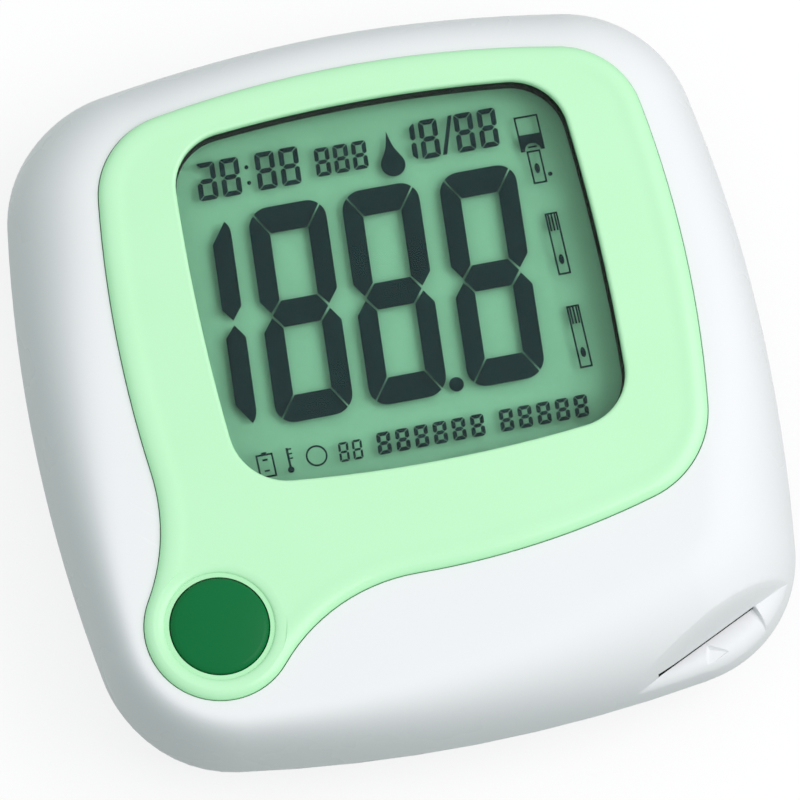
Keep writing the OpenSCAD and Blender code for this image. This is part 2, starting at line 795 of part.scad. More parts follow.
// Everything that the display can show: places are measured from the window's middle
module lcd_segments() {
    color(ink_grey)
        at_window(ink_z) {
            numeral(-28.3, numeral_low, big_size, one);
            for (x = [-17.05, -6.05, 5.5])
                numeral(x, numeral_low, big_size);
            dot(4.16, numeral_low + 0.86, 1.7);
            numeral(-20.24, 14.48, time_size, [0, 1, 2, 3, 4, 6]);
            for (x = [-17.43, -13.26, -10.44])
                numeral(x, 14.48, time_size);
            for (p = [[-14.09, 17.56], [-14.18, 15.65]])
                dot(p[0], p[1], 0.48);
            for (x = [-6.3, -4.1, -1.9])
                numeral(x, 14.85, code_size);
            drop_sign(2.67, 14.7);
            numeral(3.5, 14.65, date_size, one);
            for (x = [6.2, 10.4, 13.17])
                numeral(x, 14.65, date_size);
            ink_shape([[8.6, 14.75], [9.1, 14.75], [10.6, 19.3], [10.15, 19.3]]);
            slot_sign(17.6, 13.33);
            strip_sign(18.6, -2.03, 1.5, 7.58, 3);
            strip_sign(18.6, -13.44, 1.5, 7.57, 3);
            battery_sign(-20.3, -19.31);
            thermometer_sign(-16.6, -18.9);
            difference() {
                dot(-13.4, -17.85, 2.5);
                translate([-13.4, -17.85, -over]) cylinder(h = 2 * over, d = 2.5 - 2 * icon_line, $fn = 24);
            }
            for (x = [-10.9, -9.3])
                numeral(x, -19.15, thin_size);
            for (i = [0:5])
                numeral(-6.4 + 2.2 * i, -19.15, unit_size);
            for (i = [0:4])
                numeral(8 + 2.2 * i, -19.15, unit_size);
        }
}

// ---- circuit board --------------------------------------------------------------------------------

board_half = half - board_inset;
board_high = half - board_inset;
board_low = board_inset + 2 - half;
high_row_y = board_high - 8.5;
low_row_y = board_low + 12.5;
port_clear = 4.5;

module main_board() {
    color(board_green)
        difference() {
            translate([-board_half, board_low, board_z])
                cube([2 * board_half, board_high - board_low, board_t]);
            for (s = screw_spots)
                translate([s[0], s[1], board_z - over])
                    cylinder(h = board_t + 2 * over, d = boss_d + 4 * fit_gap, $fn = 40);
            for (s = [[1, 1], [-1, 1], [-1, -1]])
                translate([s[0] * board_half, s[1] > 0 ? board_high : board_low, board_z - over])
                    cylinder(h = board_t + 2 * over, r = 4.6, $fn = 40);
            at_each(board_spots, board_z - over)
                cylinder(h = board_t + 2 * over, d = board_screw_d + 0.4, $fn = 20);
            at_port(board_z - over) {
                translate([-scoop_reach, -scoop_reach, 0])
                    cube([2 * scoop_reach, scoop_reach + port_clear, board_t + 2 * over]);
                translate([slot_w / 2 + 1, 0, 0])
                    cube([scoop_reach, port_clear + 0.6, board_t + 2 * over]);
            }
        }
}

module chip(x, y, w, l, h, legs, leg_pitch) {
    translate([x - w / 2, y - l / 2, board_z - h]) cube([w, l, h - 0.1]);
    for (s = [-1, 1])
        for (i = [0:legs - 1])
            translate([x + s * w / 2 - 0.6 + s * 0.5, y + (i - (legs - 1) / 2) * leg_pitch - 0.15,
                       board_z - 0.35])
                cube([1.2, 0.3, 0.35]);
}

module microcontroller() {
    color(chip_black) chip(-14, high_row_y, 10, 10, 1.6, 12, 0.7);
}

module analog_chip() {
    color(chip_black) chip(8, low_row_y, 4, 5, 1.5, 4, 1.2);
}

module memory_chip() {
    color(chip_black) chip(2, high_row_y, 4, 5, 1.5, 4, 1.2);
}

module clock_crystal() {
    color(steel)
        translate([-24, high_row_y + 0.5, board_z - 1.2])
            rotate([90, 0, 0]) cylinder(h = 6, d = 2, center = true, $fn = 32);
    color(steel)
        translate([-24.6, high_row_y - 2.8, board_z - 1.4]) cube([1.2, 0.6, 1.4]);
}

module board_capacitors() {
    color("#b08a5a") {
        for (x = [-6, -4, -2])
            translate([x, low_row_y + 3.2, board_z - 0.8]) cube([0.8, 1.6, 0.8]);
        for (x = [10, 12.5])
            translate([x, high_row_y - 1.5, board_z - 0.8]) cube([0.8, 1.6, 0.8]);
    }
}

module temperature_sensor() {
    at_port(board_z - 0.9)
        color("#3a3f44")
            translate([-9.5, 10, 0]) cube([1, 1.6, 0.9]);
}

module buzzer() {
    color(chip_black)
        translate([-6, board_low + 8, board_z - 3])
            difference() {
                cylinder(h = 3, d = 12, $fn = 64);
                translate([0, 0, -over]) cylinder(h = over + 0.6, d = 1.6, $fn = 24);
            }
}

// ---- switches and buttons ---------------------------------------------------------------------------

switch_w = 6;
switch_h = 2.2;
plunger_d = 3.2;
guide_d = 3.4;
guide_depth = 1.2;
plunger_slack = 0.05;
cap_skirt_z = ceiling_z - 1;
button_top = fascia_top + button_rise;
flange_top = fascia_z + flange_room - flange_gap;
flange_t = 0.9;
plunger_top = cap_skirt_z;

module switch_body(h) {
    difference() {
        translate([-switch_w / 2, -switch_w / 2, 0]) cube([switch_w, switch_w, h]);
        translate([0, 0, h - guide_depth]) cylinder(h = guide_depth + over, d = guide_d, $fn = 36);
    }
}

module main_switch_body() {
    color(chip_black) at_button(board_top) switch_body(switch_h);
}

module main_switch_plunger() {
    z0 = board_top + switch_h - guide_depth + button_travel + plunger_slack;
    color("#d8d3c8") at_button(z0) cylinder(h = plunger_top - z0, d = plunger_d, $fn = 36);
}

// Cap with a guide flange and a gently domed face
module main_button() {
    r = button_d / 2;
    soft = 0.5;
    crown = 0.5;
    dome_r = (r * r + crown * crown) / (2 * crown);
    edge_z = button_top - crown - soft;
    color(button_green)
        at_button(0) {
            translate([0, 0, flange_top - flange_t])
                cylinder(h = flange_t, r = r + button_flange - flange_gap, $fn = 72);
            translate([0, 0, cap_skirt_z])
                cylinder(h = edge_z - cap_skirt_z, r = r, $fn = 72);
            translate([0, 0, edge_z])
                rotate_extrude($fn = 72)
                    hull() {
                        intersection() {
                            square([r, soft]);
                            translate([r - soft, 0]) circle(r = soft, $fn = 32);
                        }
                        intersection() {
                            square([r - soft, crown + soft]);
                            translate([0, crown + soft - dome_r]) circle(r = dome_r, $fn = 360);
                        }
                    }
        }
}

set_switch_h = 3;
set_cap_top = board_z - set_switch_h - 0.8;
set_cap_z = set_roof_z - 1.2;

module at_set(z) {
    translate([set_x, set_y, z]) children();
}

module set_switch_body() {
    color(chip_black) at_set(board_z) mirror([0, 0, 1]) switch_body(set_switch_h);
}

module set_switch_plunger() {
    z1 = board_z - set_switch_h + guide_depth - set_travel - plunger_slack;
    color("#d8d3c8") at_set(set_cap_top) cylinder(h = z1 - set_cap_top, d = plunger_d, $fn = 36);
}

module set_button() {
    color("#8f989b") {
        at_set(set_cap_z) cylinder(h = set_cap_top - set_cap_z, d = set_d, $fn = 40);
        at_set(set_roof_z + roof_t + 0.1) cylinder(h = 0.6, d = set_d + 1.6, $fn = 40);
    }
}

// ---- strip connector --------------------------------------------------------------------------------

guide_w = strip_w + 2.4;
guide_l = 13;
guide_back = port_wall + 0.4;
guide_low = ledge_z - 1.4;

module strip_connector() {
    color("#ebe7dc")
        at_port()
            difference() {
                translate([-guide_w / 2, guide_back, guide_low])
                    cube([guide_w, guide_l, board_z - guide_low]);
                translate([-strip_w / 2 - 0.2, guide_back - over, ledge_z])
                    cube([strip_w + 0.4, guide_l - 1.6 + over, slot_h]);
                translate([-strip_w / 2 + 0.2, guide_back - over, slot_top - 0.01])
                    cube([strip_w - 0.4, guide_l - 3 + over, board_z - slot_top - 0.38]);
            }
}

contact_count = 5;
contact_w = 0.6;

// Spring leaves that reach down onto the strip from under the board
module strip_contacts() {
    pitch = (strip_w - 1.6) / (contact_count - 1);
    leaf_t = 0.25;
    z1 = board_z - 0.4 - leaf_t;
    tip_z = ledge_z + strip_t + 0.1;
    color(gold)
        at_port()
            for (i = [0:contact_count - 1])
                translate([(i - (contact_count - 1) / 2) * pitch + contact_w / 2, guide_back + 3, 0])
                    rotate([90, 0, -90])
                        linear_extrude(contact_w)
                            polygon([[-7, z1], [-7, z1 + leaf_t], [-1, z1 + leaf_t], [2, tip_z + leaf_t],
                                     [2, tip_z], [-1, z1]]);
}

// ---- battery parts ----------------------------------------------------------------------------------

cell_nub_d = 3.8;
cell_nub_l = 0.8;

module cell(y) {
    can_l = cell_l - cell_nub_l;
    translate([cell_x, y, cell_z])
        rotate([0, 90, 0]) {
            cylinder(h = can_l, d = cell_d, $fn = 64);
            translate([0, 0, can_l]) cylinder(h = cell_nub_l, d = cell_nub_d, $fn = 32);
        }
}

module battery_cell_1() {
    color("#5d6a70") cell(cells_y - cell_pitch / 2);
}

module battery_cell_2() {
    color("#5d6a70")
        mirror([1, 0, 0]) cell(cells_y + cell_pitch / 2);
}

wire_d = 0.7;
spring_big = 3.4;
spring_small = 2.0;
spring_turns = 3;
ring_sides = 6;
steps_a_turn = 12;

// Conical spring from z = 0 to its length, as one wire swept along a helix
function spring_point(u, l) =
    let (r = spring_big + (spring_small - spring_big) * u, a = 360 * spring_turns * u)
    [r * cos(a), r * sin(a), wire_d / 2 + (l - wire_d) * u];

// Least distance between the wires of neighbouring turns
spring_gap = min([for (i = [0:(spring_turns - 1) * steps_a_turn]) for (j = [-2:2])
    norm(spring_point(i / (spring_turns * steps_a_turn), spring_l)
         - spring_point((i + steps_a_turn + j) / (spring_turns * steps_a_turn), spring_l))]) - wire_d;
echo(spring_gap = spring_gap);

module conical_spring(l) {
    steps = spring_turns * steps_a_turn;
    rings = [for (i = [0:steps])
        let (u = i / steps, p = spring_point(u, l), a = 360 * spring_turns * u,
             out = [cos(a), sin(a), 0])
        [for (k = [0:ring_sides - 1])
            let (b = -360 * k / ring_sides)
            p + wire_d / 2 * (cos(b) * out + sin(b) * [0, 0, 1])]];
    ring_stack(rings);
}

// Springs press on the flat ends of the cells, one at each end of the bay
module battery_springs() {
    color(steel) {
        translate([-bay_l / 2 + plate_t, cells_y - cell_pitch / 2, cell_z])
            rotate([0, 90, 0]) conical_spring(spring_l);
        translate([bay_l / 2 - plate_t, cells_y + cell_pitch / 2, cell_z])
            rotate([0, -90, 0]) conical_spring(spring_l);
    }
}

terminal_w = 2;
plate_h = 9;

// Plate behind one cell with a leg that rises to the board
module terminal_plate(x, y) {
    translate([x, y - plate_h / 2, cell_z - plate_h / 2]) cube([plate_t, plate_h, plate_h]);
    translate([x, y - terminal_w / 2, cell_z]) cube([plate_t, terminal_w, board_z - cell_z]);
}

module terminal_plates() {
    color(steel)
        for (s = [-1, 1])
            terminal_plate(-bay_l / 2, cells_y + s * cell_pitch / 2);
}

module bridge_plate() {
    color(steel)
        translate([bay_l / 2 - plate_t, cells_y - cell_pitch / 2 - plate_h / 2, cell_z - plate_h / 2])
            cube([plate_t, cell_pitch + plate_h, plate_h]);
}

grip_count = 5;
grip_pitch = 1.6;

// Door with two hooking tabs at the top edge and a ribbed thumb rest at the bottom edge
module battery_door() {
    color(white)
        difference() {
            union() {
                bay_box(bay_l, door_low_y, hinge_y, back_z, door_top_z);
                for (s = [-1, 1])
                    translate([s * tab_x - tab_w / 2, hinge_y - 1.4, door_top_z - 0.01])
                        cube([tab_w, 1.4, tab_h + 0.21]);
                for (s = [-1, 1])
                    translate([s * tab_x - tab_w / 2, hinge_y - 1.4, door_top_z + 0.2])
                        cube([tab_w, 1.4 + tab_l, tab_h]);
            }
            for (i = [0:grip_count - 1])
                translate([-6, door_low_y + 2.5 + grip_pitch * i, back_z - over])
                    cube([12, 0.7, over + 0.4]);
        }
}

// ---- fasteners and feet -------------------------------------------------------------------------

module screw(z_head, z_tip, d, head_d, head_h) {
    difference() {
        union() {
            translate([0, 0, z_head]) cylinder(h = z_tip - z_head, d = d, $fn = 24);
            translate([0, 0, z_head - head_h]) cylinder(h = head_h, d = head_d, $fn = 32);
        }
        for (a = [0, 90])
            rotate([0, 0, a])
                translate([-head_d / 3, -0.3, z_head - head_h - over])
                    cube([2 * head_d / 3, 0.6, over + head_h / 2]);
    }
}

module housing_screws() {
    color(steel)
        at_each(screw_spots) screw(screw_seat_z, screw_tip_z, boss_hole_d, screw_head_d, screw_head_h);
}

module board_screws() {
    color(steel)
        at_each(board_spots)
            screw(board_z, board_screw_tip_z, board_screw_d - 0.3, board_screw_head_d, board_screw_head_h);
}

module rubber_feet() {
    soft = 0.3;
    color("#8b9092")
        at_each(foot_spots) {
            translate([0, 0, soft]) cylinder(h = foot_h + foot_seat - soft, d = foot_d, $fn = 48);
            cylinder(h = soft, d1 = foot_d - 2 * soft, d2 = foot_d, $fn = 48);
        }
}

front_housing();
rear_housing();
fascia();
display_lens();
front_polarizer();
lcd_front_glass();
lcd_segments();
lcd_seal();
lcd_rear_glass();
lcd_reflector();
lcd_frame();
zebra_connector();
main_board();
microcontroller();
analog_chip();
memory_chip();
clock_crystal();
board_capacitors();
temperature_sensor();
buzzer();
main_switch_body();
main_switch_plunger();
main_button();
set_switch_body();
set_switch_plunger();
set_button();
strip_connector();
strip_contacts();
battery_cell_1();
battery_cell_2();
battery_springs();
terminal_plates();
bridge_plate();
battery_door();
housing_screws();
board_screws();
rubber_feet();
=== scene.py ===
# %% [markdown]
# A blood glucose meter lies on its back on a white table. Its working parts (housings, display, buttons,
# battery door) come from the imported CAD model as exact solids. Blender gives them their moulded surfaces,
# their finishes and the light of a small studio.
# Lengths below are in millimetres until a mesh is made, because every size on a product like this one is
# a few millimetres. MM turns them into Blender's metres.

# %% Load the frame
import json
import math

import bmesh
import bpy
from mathutils import Matrix, Vector
from mathutils.kdtree import KDTree

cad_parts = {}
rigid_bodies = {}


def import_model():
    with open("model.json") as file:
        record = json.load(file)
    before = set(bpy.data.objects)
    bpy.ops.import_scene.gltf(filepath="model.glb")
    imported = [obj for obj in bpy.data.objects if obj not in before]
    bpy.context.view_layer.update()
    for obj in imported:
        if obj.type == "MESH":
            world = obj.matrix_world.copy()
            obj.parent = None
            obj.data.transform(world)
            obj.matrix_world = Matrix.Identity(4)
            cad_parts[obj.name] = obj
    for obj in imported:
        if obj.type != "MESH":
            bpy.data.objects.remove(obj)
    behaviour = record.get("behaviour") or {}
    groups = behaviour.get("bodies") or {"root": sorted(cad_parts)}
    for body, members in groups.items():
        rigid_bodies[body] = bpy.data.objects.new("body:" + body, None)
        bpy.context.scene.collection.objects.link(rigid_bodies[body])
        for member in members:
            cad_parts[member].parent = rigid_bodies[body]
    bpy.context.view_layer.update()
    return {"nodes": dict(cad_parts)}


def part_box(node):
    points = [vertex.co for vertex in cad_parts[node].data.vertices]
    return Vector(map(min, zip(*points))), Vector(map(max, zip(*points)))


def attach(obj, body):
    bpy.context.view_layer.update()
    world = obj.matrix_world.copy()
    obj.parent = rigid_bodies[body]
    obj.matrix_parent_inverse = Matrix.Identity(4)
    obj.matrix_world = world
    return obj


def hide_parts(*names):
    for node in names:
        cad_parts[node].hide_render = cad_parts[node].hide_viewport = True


MM = 0.001

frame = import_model()
nodes = frame["nodes"]

# %% [markdown]
# The photograph looks down on the face from about 85 centimetres, a little from the left and from below.
# The camera is placed by a direction and a distance. Its lens is a long telephoto, so the body's sides stay
# nearly parallel. The picture is turned by about 10 degrees, as if the meter had been put down slightly
# askew, and a small shift of the lens centres it as the photograph does.

# %% Camera
LOOK_AT = Vector((0, 0, 12)) * MM
TOWARDS_CAMERA = Vector((-0.136, -0.264, 0.955)).normalized()
CAMERA_DISTANCE = 850 * MM
PICTURE_TURN = 0.185
LENS_MM, SENSOR_MM = 330.6, 36
SHIFT_RIGHT, SHIFT_UP = -0.0019, -0.018
FAR_METRES = 10


def add_camera():
    level = (Vector((1, 0, 0)) - TOWARDS_CAMERA.x * TOWARDS_CAMERA).normalized()
    upright = TOWARDS_CAMERA.cross(level)
    right = math.cos(PICTURE_TURN) * level - math.sin(PICTURE_TURN) * upright
    up = math.sin(PICTURE_TURN) * level + math.cos(PICTURE_TURN) * upright
    data = bpy.data.cameras.new("studio_camera")
    data.lens = LENS_MM
    data.sensor_width = SENSOR_MM
    data.shift_x = SHIFT_RIGHT
    data.shift_y = SHIFT_UP
    data.clip_end = FAR_METRES
    camera = bpy.data.objects.new("studio_camera", data)
    turn = Matrix((right, up, TOWARDS_CAMERA)).transposed()
    camera.matrix_world = Matrix.Translation(LOOK_AT + CAMERA_DISTANCE * TOWARDS_CAMERA) @ turn.to_4x4()
    bpy.context.scene.collection.objects.link(camera)
    bpy.context.scene.camera = camera


add_camera()
print("camera:", LENS_MM, "mm lens, turned", round(math.degrees(PICTURE_TURN), 1), "degrees")

# %% [markdown]
# Materials are node trees. Two helpers keep them short: one turns a colour that is written as on a
# designer's colour card (sRGB) into the linear values that a renderer works with, the other adds a node with
# its settings and joins its inputs. Patterns read Object coordinates, so they stay put on the piece when the
# view or the pose changes.

# %% Helpers for materials
def linear(card):
    channels = [int(card[i:i + 2], 16) / 255 for i in (1, 3, 5)]
    bent = [c / 12.92 if c <= 0.04045 else ((c + 0.055) / 1.055) ** 2.4 for c in channels]
    return (*bent, 1.0)


def add_node(tree, kind, settings=None, **inputs):
    """An input is called by its name, with _ for a space, or by its number after a _"""
    node = tree.nodes.new(kind)
    for key, value in (settings or {}).items():
        setattr(node, key, value)
    for key, value in inputs.items():
        socket = node.inputs[int(key[1:])] if key[1:].isdigit() else node.inputs[key.replace("_", " ")]
        if isinstance(value, bpy.types.NodeSocket):
            tree.links.new(value, socket)
        else:
            socket.default_value = value
    return node


def new_material(name):
    material = bpy.data.materials.new(name)
    material.use_nodes = True
    material.node_tree.nodes.clear()
    return material, material.node_tree


def places_on(tree):
    return add_node(tree, "ShaderNodeTexCoord").outputs["Object"]


def mixed(tree, share, low, high):
    """A colour between two, by a share from 0 to 1"""
    return add_node(tree, "ShaderNodeMix", {"data_type": "RGBA"}, _0=share, _6=low, _7=high).outputs[2]


def finish_material(tree, surface):
    add_node(tree, "ShaderNodeOutputMaterial", Surface=surface)


print("mint on the card #c6f9cd is", [round(c, 3) for c in linear("#c6f9cd")], "to the renderer")


# %% [markdown]
# Injection-moulded plastic is smooth but never perfect. Its gloss wavers a little where the polymer flowed
# and cooled, and its surface has a very shallow waviness like the skin of an orange, a few millimetres from
# crest to crest. One function makes such a plastic from its two nearly equal colours and its roughness. The
# typical IOR of plastic, 1.53, is lowered on the outer pieces until their gloss is as quiet as on the object.

# %% Moulded plastics
WAVE_MM = 5.0  # crest to crest of the orange skin
WAVE_DEPTH_MM = 0.2
FLOW_MM = 14.0  # width of a patch where the polymer flowed a little differently
NOISE_LOW, NOISE_HIGH = 0.3, 0.7  # where nearly all values of a noise pattern lie
GLOSS_SPREAD = 0.06


def noise(tree, places, size_mm, detail):
    """A soft random pattern whose patches are about so many millimetres wide"""
    return add_node(tree, "ShaderNodeTexNoise", Vector=places, Scale=1 / (size_mm * MM), Detail=detail)


def flow_marks(tree, places):
    return noise(tree, places, FLOW_MM, 3.0).outputs[0]


def orange_skin(tree, places, wave):
    skin = noise(tree, places, WAVE_MM, 1.0)
    return add_node(tree, "ShaderNodeBump", Strength=wave, Distance=WAVE_DEPTH_MM * MM,
                    Height=skin.outputs[0]).outputs[0]


def moulded_plastic(name, card, card_2, roughness, wave=0.02, ior=1.53):
    material, tree = new_material(name)
    places = places_on(tree)
    flow = flow_marks(tree, places)
    gloss = add_node(tree, "ShaderNodeMapRange", Value=flow, From_Min=NOISE_LOW, From_Max=NOISE_HIGH,
                     To_Min=roughness - GLOSS_SPREAD / 2, To_Max=roughness + GLOSS_SPREAD / 2)
    plastic = add_node(tree, "ShaderNodeBsdfPrincipled", IOR=ior, Roughness=gloss.outputs[0],
                       Base_Color=mixed(tree, flow, linear(card), linear(card_2)),
                       Normal=orange_skin(tree, places, wave))
    finish_material(tree, plastic.outputs[0])
    return material


# A polished mould gives the shell a wide soft gloss, with no sharp mirror image
shell_white = moulded_plastic("white ABS, polished mould", "#f0f1f3", "#edeff1", 0.28, ior=1.1)
# The cap has the same finish; its deep colour makes its gloss show as a pale veil
button_green = moulded_plastic("green ABS, polished mould", "#0b6936", "#0e713c", 0.3, ior=1.2)
# Black foam with a dull, uneven surface, used as painted shade round the window and in the slot
black_shade_foam = moulded_plastic("black polyethylene foam, painted shade", "#1c2420", "#242d28", 0.9, 0.2, ior=1.2)
# Half-matt and dark, so that it sends no light into the display from the side
tray_plastic = moulded_plastic("grey polycarbonate, display tray", "#3c4440", "#353d39", 0.5)
# Nylon is a little waxy and yellowish
connector_plastic = moulded_plastic("ivory nylon, strip guide", "#ebe7dc", "#e3decf", 0.45)
# Acetal is smooth and slippery, with a creamy tone
plunger_plastic = moulded_plastic("cream acetal, switch plunger", "#d8d3c8", "#cfc9bb", 0.4)
# A small service button: plain grey, half-matt
set_button_grey = moulded_plastic("grey ABS, set button", "#8f989b", "#878f92", 0.4)
# Chip packages are moulded in a fine spark-eroded cavity, so they are matt
chip_epoxy = moulded_plastic("black epoxy, chip package", "#26282a", "#2c2e30", 0.55)
# A bead of glue between the glasses, slightly amber
seal_epoxy = moulded_plastic("amber epoxy, glass seal", "#c8c4a8", "#bdb795", 0.4)
# Rubber is dull and its skin is wavy
foot_rubber = moulded_plastic("grey silicone rubber, foot", "#8b9092", "#82878a", 0.7, 0.1)
# The striped connector's rubber is pink and dull
zebra_rubber = moulded_plastic("pink silicone rubber, striped", "#d98a9a", "#cf7f90", 0.6)
# Fired ceramic: dry, brown, hardly glossy
capacitor_ceramic = moulded_plastic("tan ceramic, capacitor", "#b08a5a", "#a88252", 0.5)
# A lacquered can has a long highlight along its side
can_label = moulded_plastic("grey lacquer on a steel can", "#5d6a70", "#56636a", 0.3)
print("moulded plastics: from", shell_white.name, "to", can_label.name)

# %% [markdown]
# The fascia is a thick plate of mint ABS. Its rounded rim is painted a deeper green than the flat field:
# painted shade, where the rim curves down and away from the light.
# The height of a point over the seat (its Z in Object coordinates) drives that change, which keeps it in
# place from every side.

# %% Mint fascia
FASCIA_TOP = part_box("fascia")[1].z
RIM_SHADE_DEPTH_MM, RIM_SHADE_EDGE_MM = 0.9, 0.1  # the painted shade on the rim ends between these two depths under the top


def mint_abs():
    """Mint ABS from a polished mould: brighter gloss than the shell, and a rim painted a deeper green as
    painted shade
    """
    material, tree = new_material("mint ABS, polished mould")
    places = places_on(tree)
    axis = add_node(tree, "ShaderNodeSeparateXYZ", Vector=places)
    height = add_node(tree, "ShaderNodeMapRange", Value=axis.outputs[2],
                      From_Min=FASCIA_TOP - RIM_SHADE_DEPTH_MM * MM, From_Max=FASCIA_TOP - RIM_SHADE_EDGE_MM * MM)
    field = mixed(tree, flow_marks(tree, places), linear("#c6f9cd"), linear("#bff5c6"))
    # the deeper green #aef0b8 towards the rim is painted shade
    colour = mixed(tree, height.outputs[0], linear("#aef0b8"), field)
    plastic = add_node(tree, "ShaderNodeBsdfPrincipled", Base_Color=colour, Roughness=0.2,
                       IOR=1.4, Normal=orange_skin(tree, places, 0.02))
    finish_material(tree, plastic.outputs[0])
    return material


fascia_mint = mint_abs()
print("fascia's top at", round(FASCIA_TOP / MM, 2), "mm")

# %% [markdown]
# A display of this kind is a sandwich: a polarizing film, a glass, the dark segments, a second glass and a
# grey-green reflector. The segments stand almost a millimetre above the reflector, so they throw a soft
# shadow on it. Clear pieces let shadow rays through, or the renderer would leave the reflector black.

# %% Clear pieces and display films
def clear_piece(name, card, ior, share):
    """The share of a real glass surface in it; the rest lets every ray straight through"""
    material, tree = new_material(name)
    light = add_node(tree, "ShaderNodeLightPath")
    gloss = add_node(tree, "ShaderNodeBsdfPrincipled", Base_Color=linear(card), Roughness=0.0, IOR=ior,
                     Transmission_Weight=1.0)
    through = add_node(tree, "ShaderNodeBsdfTransparent", Color=linear(card))
    body = add_node(tree, "ShaderNodeMixShader", _0=share, _1=through.outputs[0], _2=gloss.outputs[0])
    surface = add_node(tree, "ShaderNodeMixShader", _0=light.outputs["Is Shadow Ray"], _1=body.outputs[0],
                       _2=through.outputs[0])
    finish_material(tree, surface.outputs[0])
    return material


# The coat halves the mirror image, so its IOR is lower than the 1.49 of bare acrylic
lens_acrylic = clear_piece("clear acrylic with a non-glare coat, lens", "#fdffff", 1.2, 1.0)
# Glass and film are glued together, so they hardly reflect where they meet
display_glass = clear_piece("soda-lime glass, display", "#fcfffe", 1.02, 0.05)
polarizer_film = clear_piece("acetate film, polarizer", "#f6fbf6", 1.02, 0.05)
# The reflector is matt, which makes the display's field an even grey-green
reflector_film = moulded_plastic("silvered film, display reflector", "#8cb39e", "#86ad98", 0.7, 0.05,
                                 ior=1.2)
# Dark segments swallow light; they have hardly any gloss of their own
segment_ink = moulded_plastic("liquid crystal, dark state", "#10252a", "#13292e", 0.6, 0.0, ior=1.1)
print("display, from above:", [piece.name for piece in (lens_acrylic, polarizer_film, display_glass,
                                                         segment_ink, reflector_film)])

# %% [markdown]
# Metal parts are inside: nickel on springs and plates, tin-plated screws, gold on the strip contacts. They
# are metals, so their colour lies in the reflection.

# %% Metals and the board
GRAIN_MM = 0.3  # a plated grain is far finer than this; it is drawn as coarse as it needs to show
WEAVE_MM = 1.2  # glass cloth has a thread every 0.5 mm; it is drawn coarser, so that it shows
GLOSS_BELOW, GLOSS_ABOVE = 0.05, 0.08


def plated_metal(name, card, roughness):
    material, tree = new_material(name)
    grain = noise(tree, places_on(tree), GRAIN_MM, 2.0)
    gloss = add_node(tree, "ShaderNodeMapRange", Value=grain.outputs[0], From_Min=NOISE_LOW,
                     From_Max=NOISE_HIGH, To_Min=roughness - GLOSS_BELOW, To_Max=roughness + GLOSS_ABOVE)
    metal = add_node(tree, "ShaderNodeBsdfPrincipled", Base_Color=linear(card), Metallic=1.0,
                     Roughness=gloss.outputs[0])
    finish_material(tree, metal.outputs[0])
    return material


def board_laminate():
    """Green lacquer over glass cloth: glossy, with the cloth just visible as a mottle"""
    material, tree = new_material("solder mask on glass-epoxy laminate")
    weave = noise(tree, places_on(tree), WEAVE_MM, 2.0)
    mask = add_node(tree, "ShaderNodeBsdfPrincipled", Roughness=0.3,
                    Base_Color=mixed(tree, weave.outputs[0], linear("#2b633a"), linear("#357446")))
    finish_material(tree, mask.outputs[0])
    return material


# Nickel is bright and slightly warm, zinc is duller and bluish, gold is the smoothest of the three
nickel = plated_metal("nickel-plated steel", "#c3c6c8", 0.25)
zinc = plated_metal("zinc-plated steel, screw", "#b4b9bd", 0.35)
gold = plated_metal("gold-plated bronze, contact", "#d9b35c", 0.22)
laminate = board_laminate()
print("metals:", [metal.name for metal in (nickel, zinc, gold)])

# %% [markdown]
# The body, the fascia and the window are drawn as a product designer draws them: as closed runs of arcs that
# touch each other. The same run of arcs, drawn in by a distance, gives the next contour further up a
# rounded edge. An arc is (middle, radius, side, steps); side is 1 where it bulges and -1 where it is hollow.

# %% Outlines made of arcs
def heading(vector):
    return math.atan2(vector.y, vector.x)


def crossing(middle_a, radius_a, middle_b, radius_b, side):
    """Where two circles cross, on one side of the line between their middles"""
    span = (middle_b - middle_a).length
    way = (middle_b - middle_a) / span
    along = (radius_a ** 2 - radius_b ** 2 + span ** 2) / (2 * span)
    across = side * math.sqrt(radius_a ** 2 - along ** 2)
    return middle_a + along * way + across * Vector((-way.y, way.x))


def meeting(a, b):
    """The direction in which two arcs that touch each other meet"""
    if a[2] > 0 and b[2] > 0:
        return (b[0] - a[0]) * (1 if a[1] > b[1] else -1)
    return (b[0] - a[0]) * a[2]


def outline(arcs, inset=0.0):
    """The points of a closed run of arcs, drawn in by a distance"""
    points = []
    for i, (middle, radius, side, steps) in enumerate(arcs):
        first = heading(meeting(arcs[i - 1], arcs[i]) * side)
        last = heading(meeting(arcs[i], arcs[(i + 1) % len(arcs)]) * side)
        if side > 0 and last < first:
            last += 2 * math.pi
        if side < 0 and last > first:
            last -= 2 * math.pi
        for j in range(steps):
            turn = first + (last - first) * j / steps
            points.append(middle + (radius - side * inset) * Vector((math.cos(turn), math.sin(turn))))
    return points


def rounding(a, b, radius, steps):
    """A corner that bulges between two bulging arcs"""
    return crossing(a[0], a[1] - radius, b[0], b[1] - radius, 1), radius, 1, steps


def hollow(a, b, radius, steps):
    """A hollow passage between two bulging arcs"""
    return crossing(a[0], a[1] + radius, b[0], b[1] + radius, -1), radius, -1, steps


def bulged_box(middle, half_w, half_h, bulge_w, bulge_h, corner, side_steps, corner_steps):
    """Four bulging sides and four corners, from the right side round by the top"""
    across, up = Vector((half_w - bulge_w, 0)), Vector((0, half_h - bulge_h))
    sides = [(middle + across, bulge_w, 1, side_steps), (middle + up, bulge_h, 1, side_steps),
             (middle - across, bulge_w, 1, side_steps), (middle - up, bulge_h, 1, side_steps)]
    arcs = []
    for side, following in zip(sides, sides[1:] + sides[:1]):
        arcs += [side, rounding(side, following, corner, corner_steps)]
    return arcs


def raised(points, z):
    return [(point.x, point.y, z) for point in points]


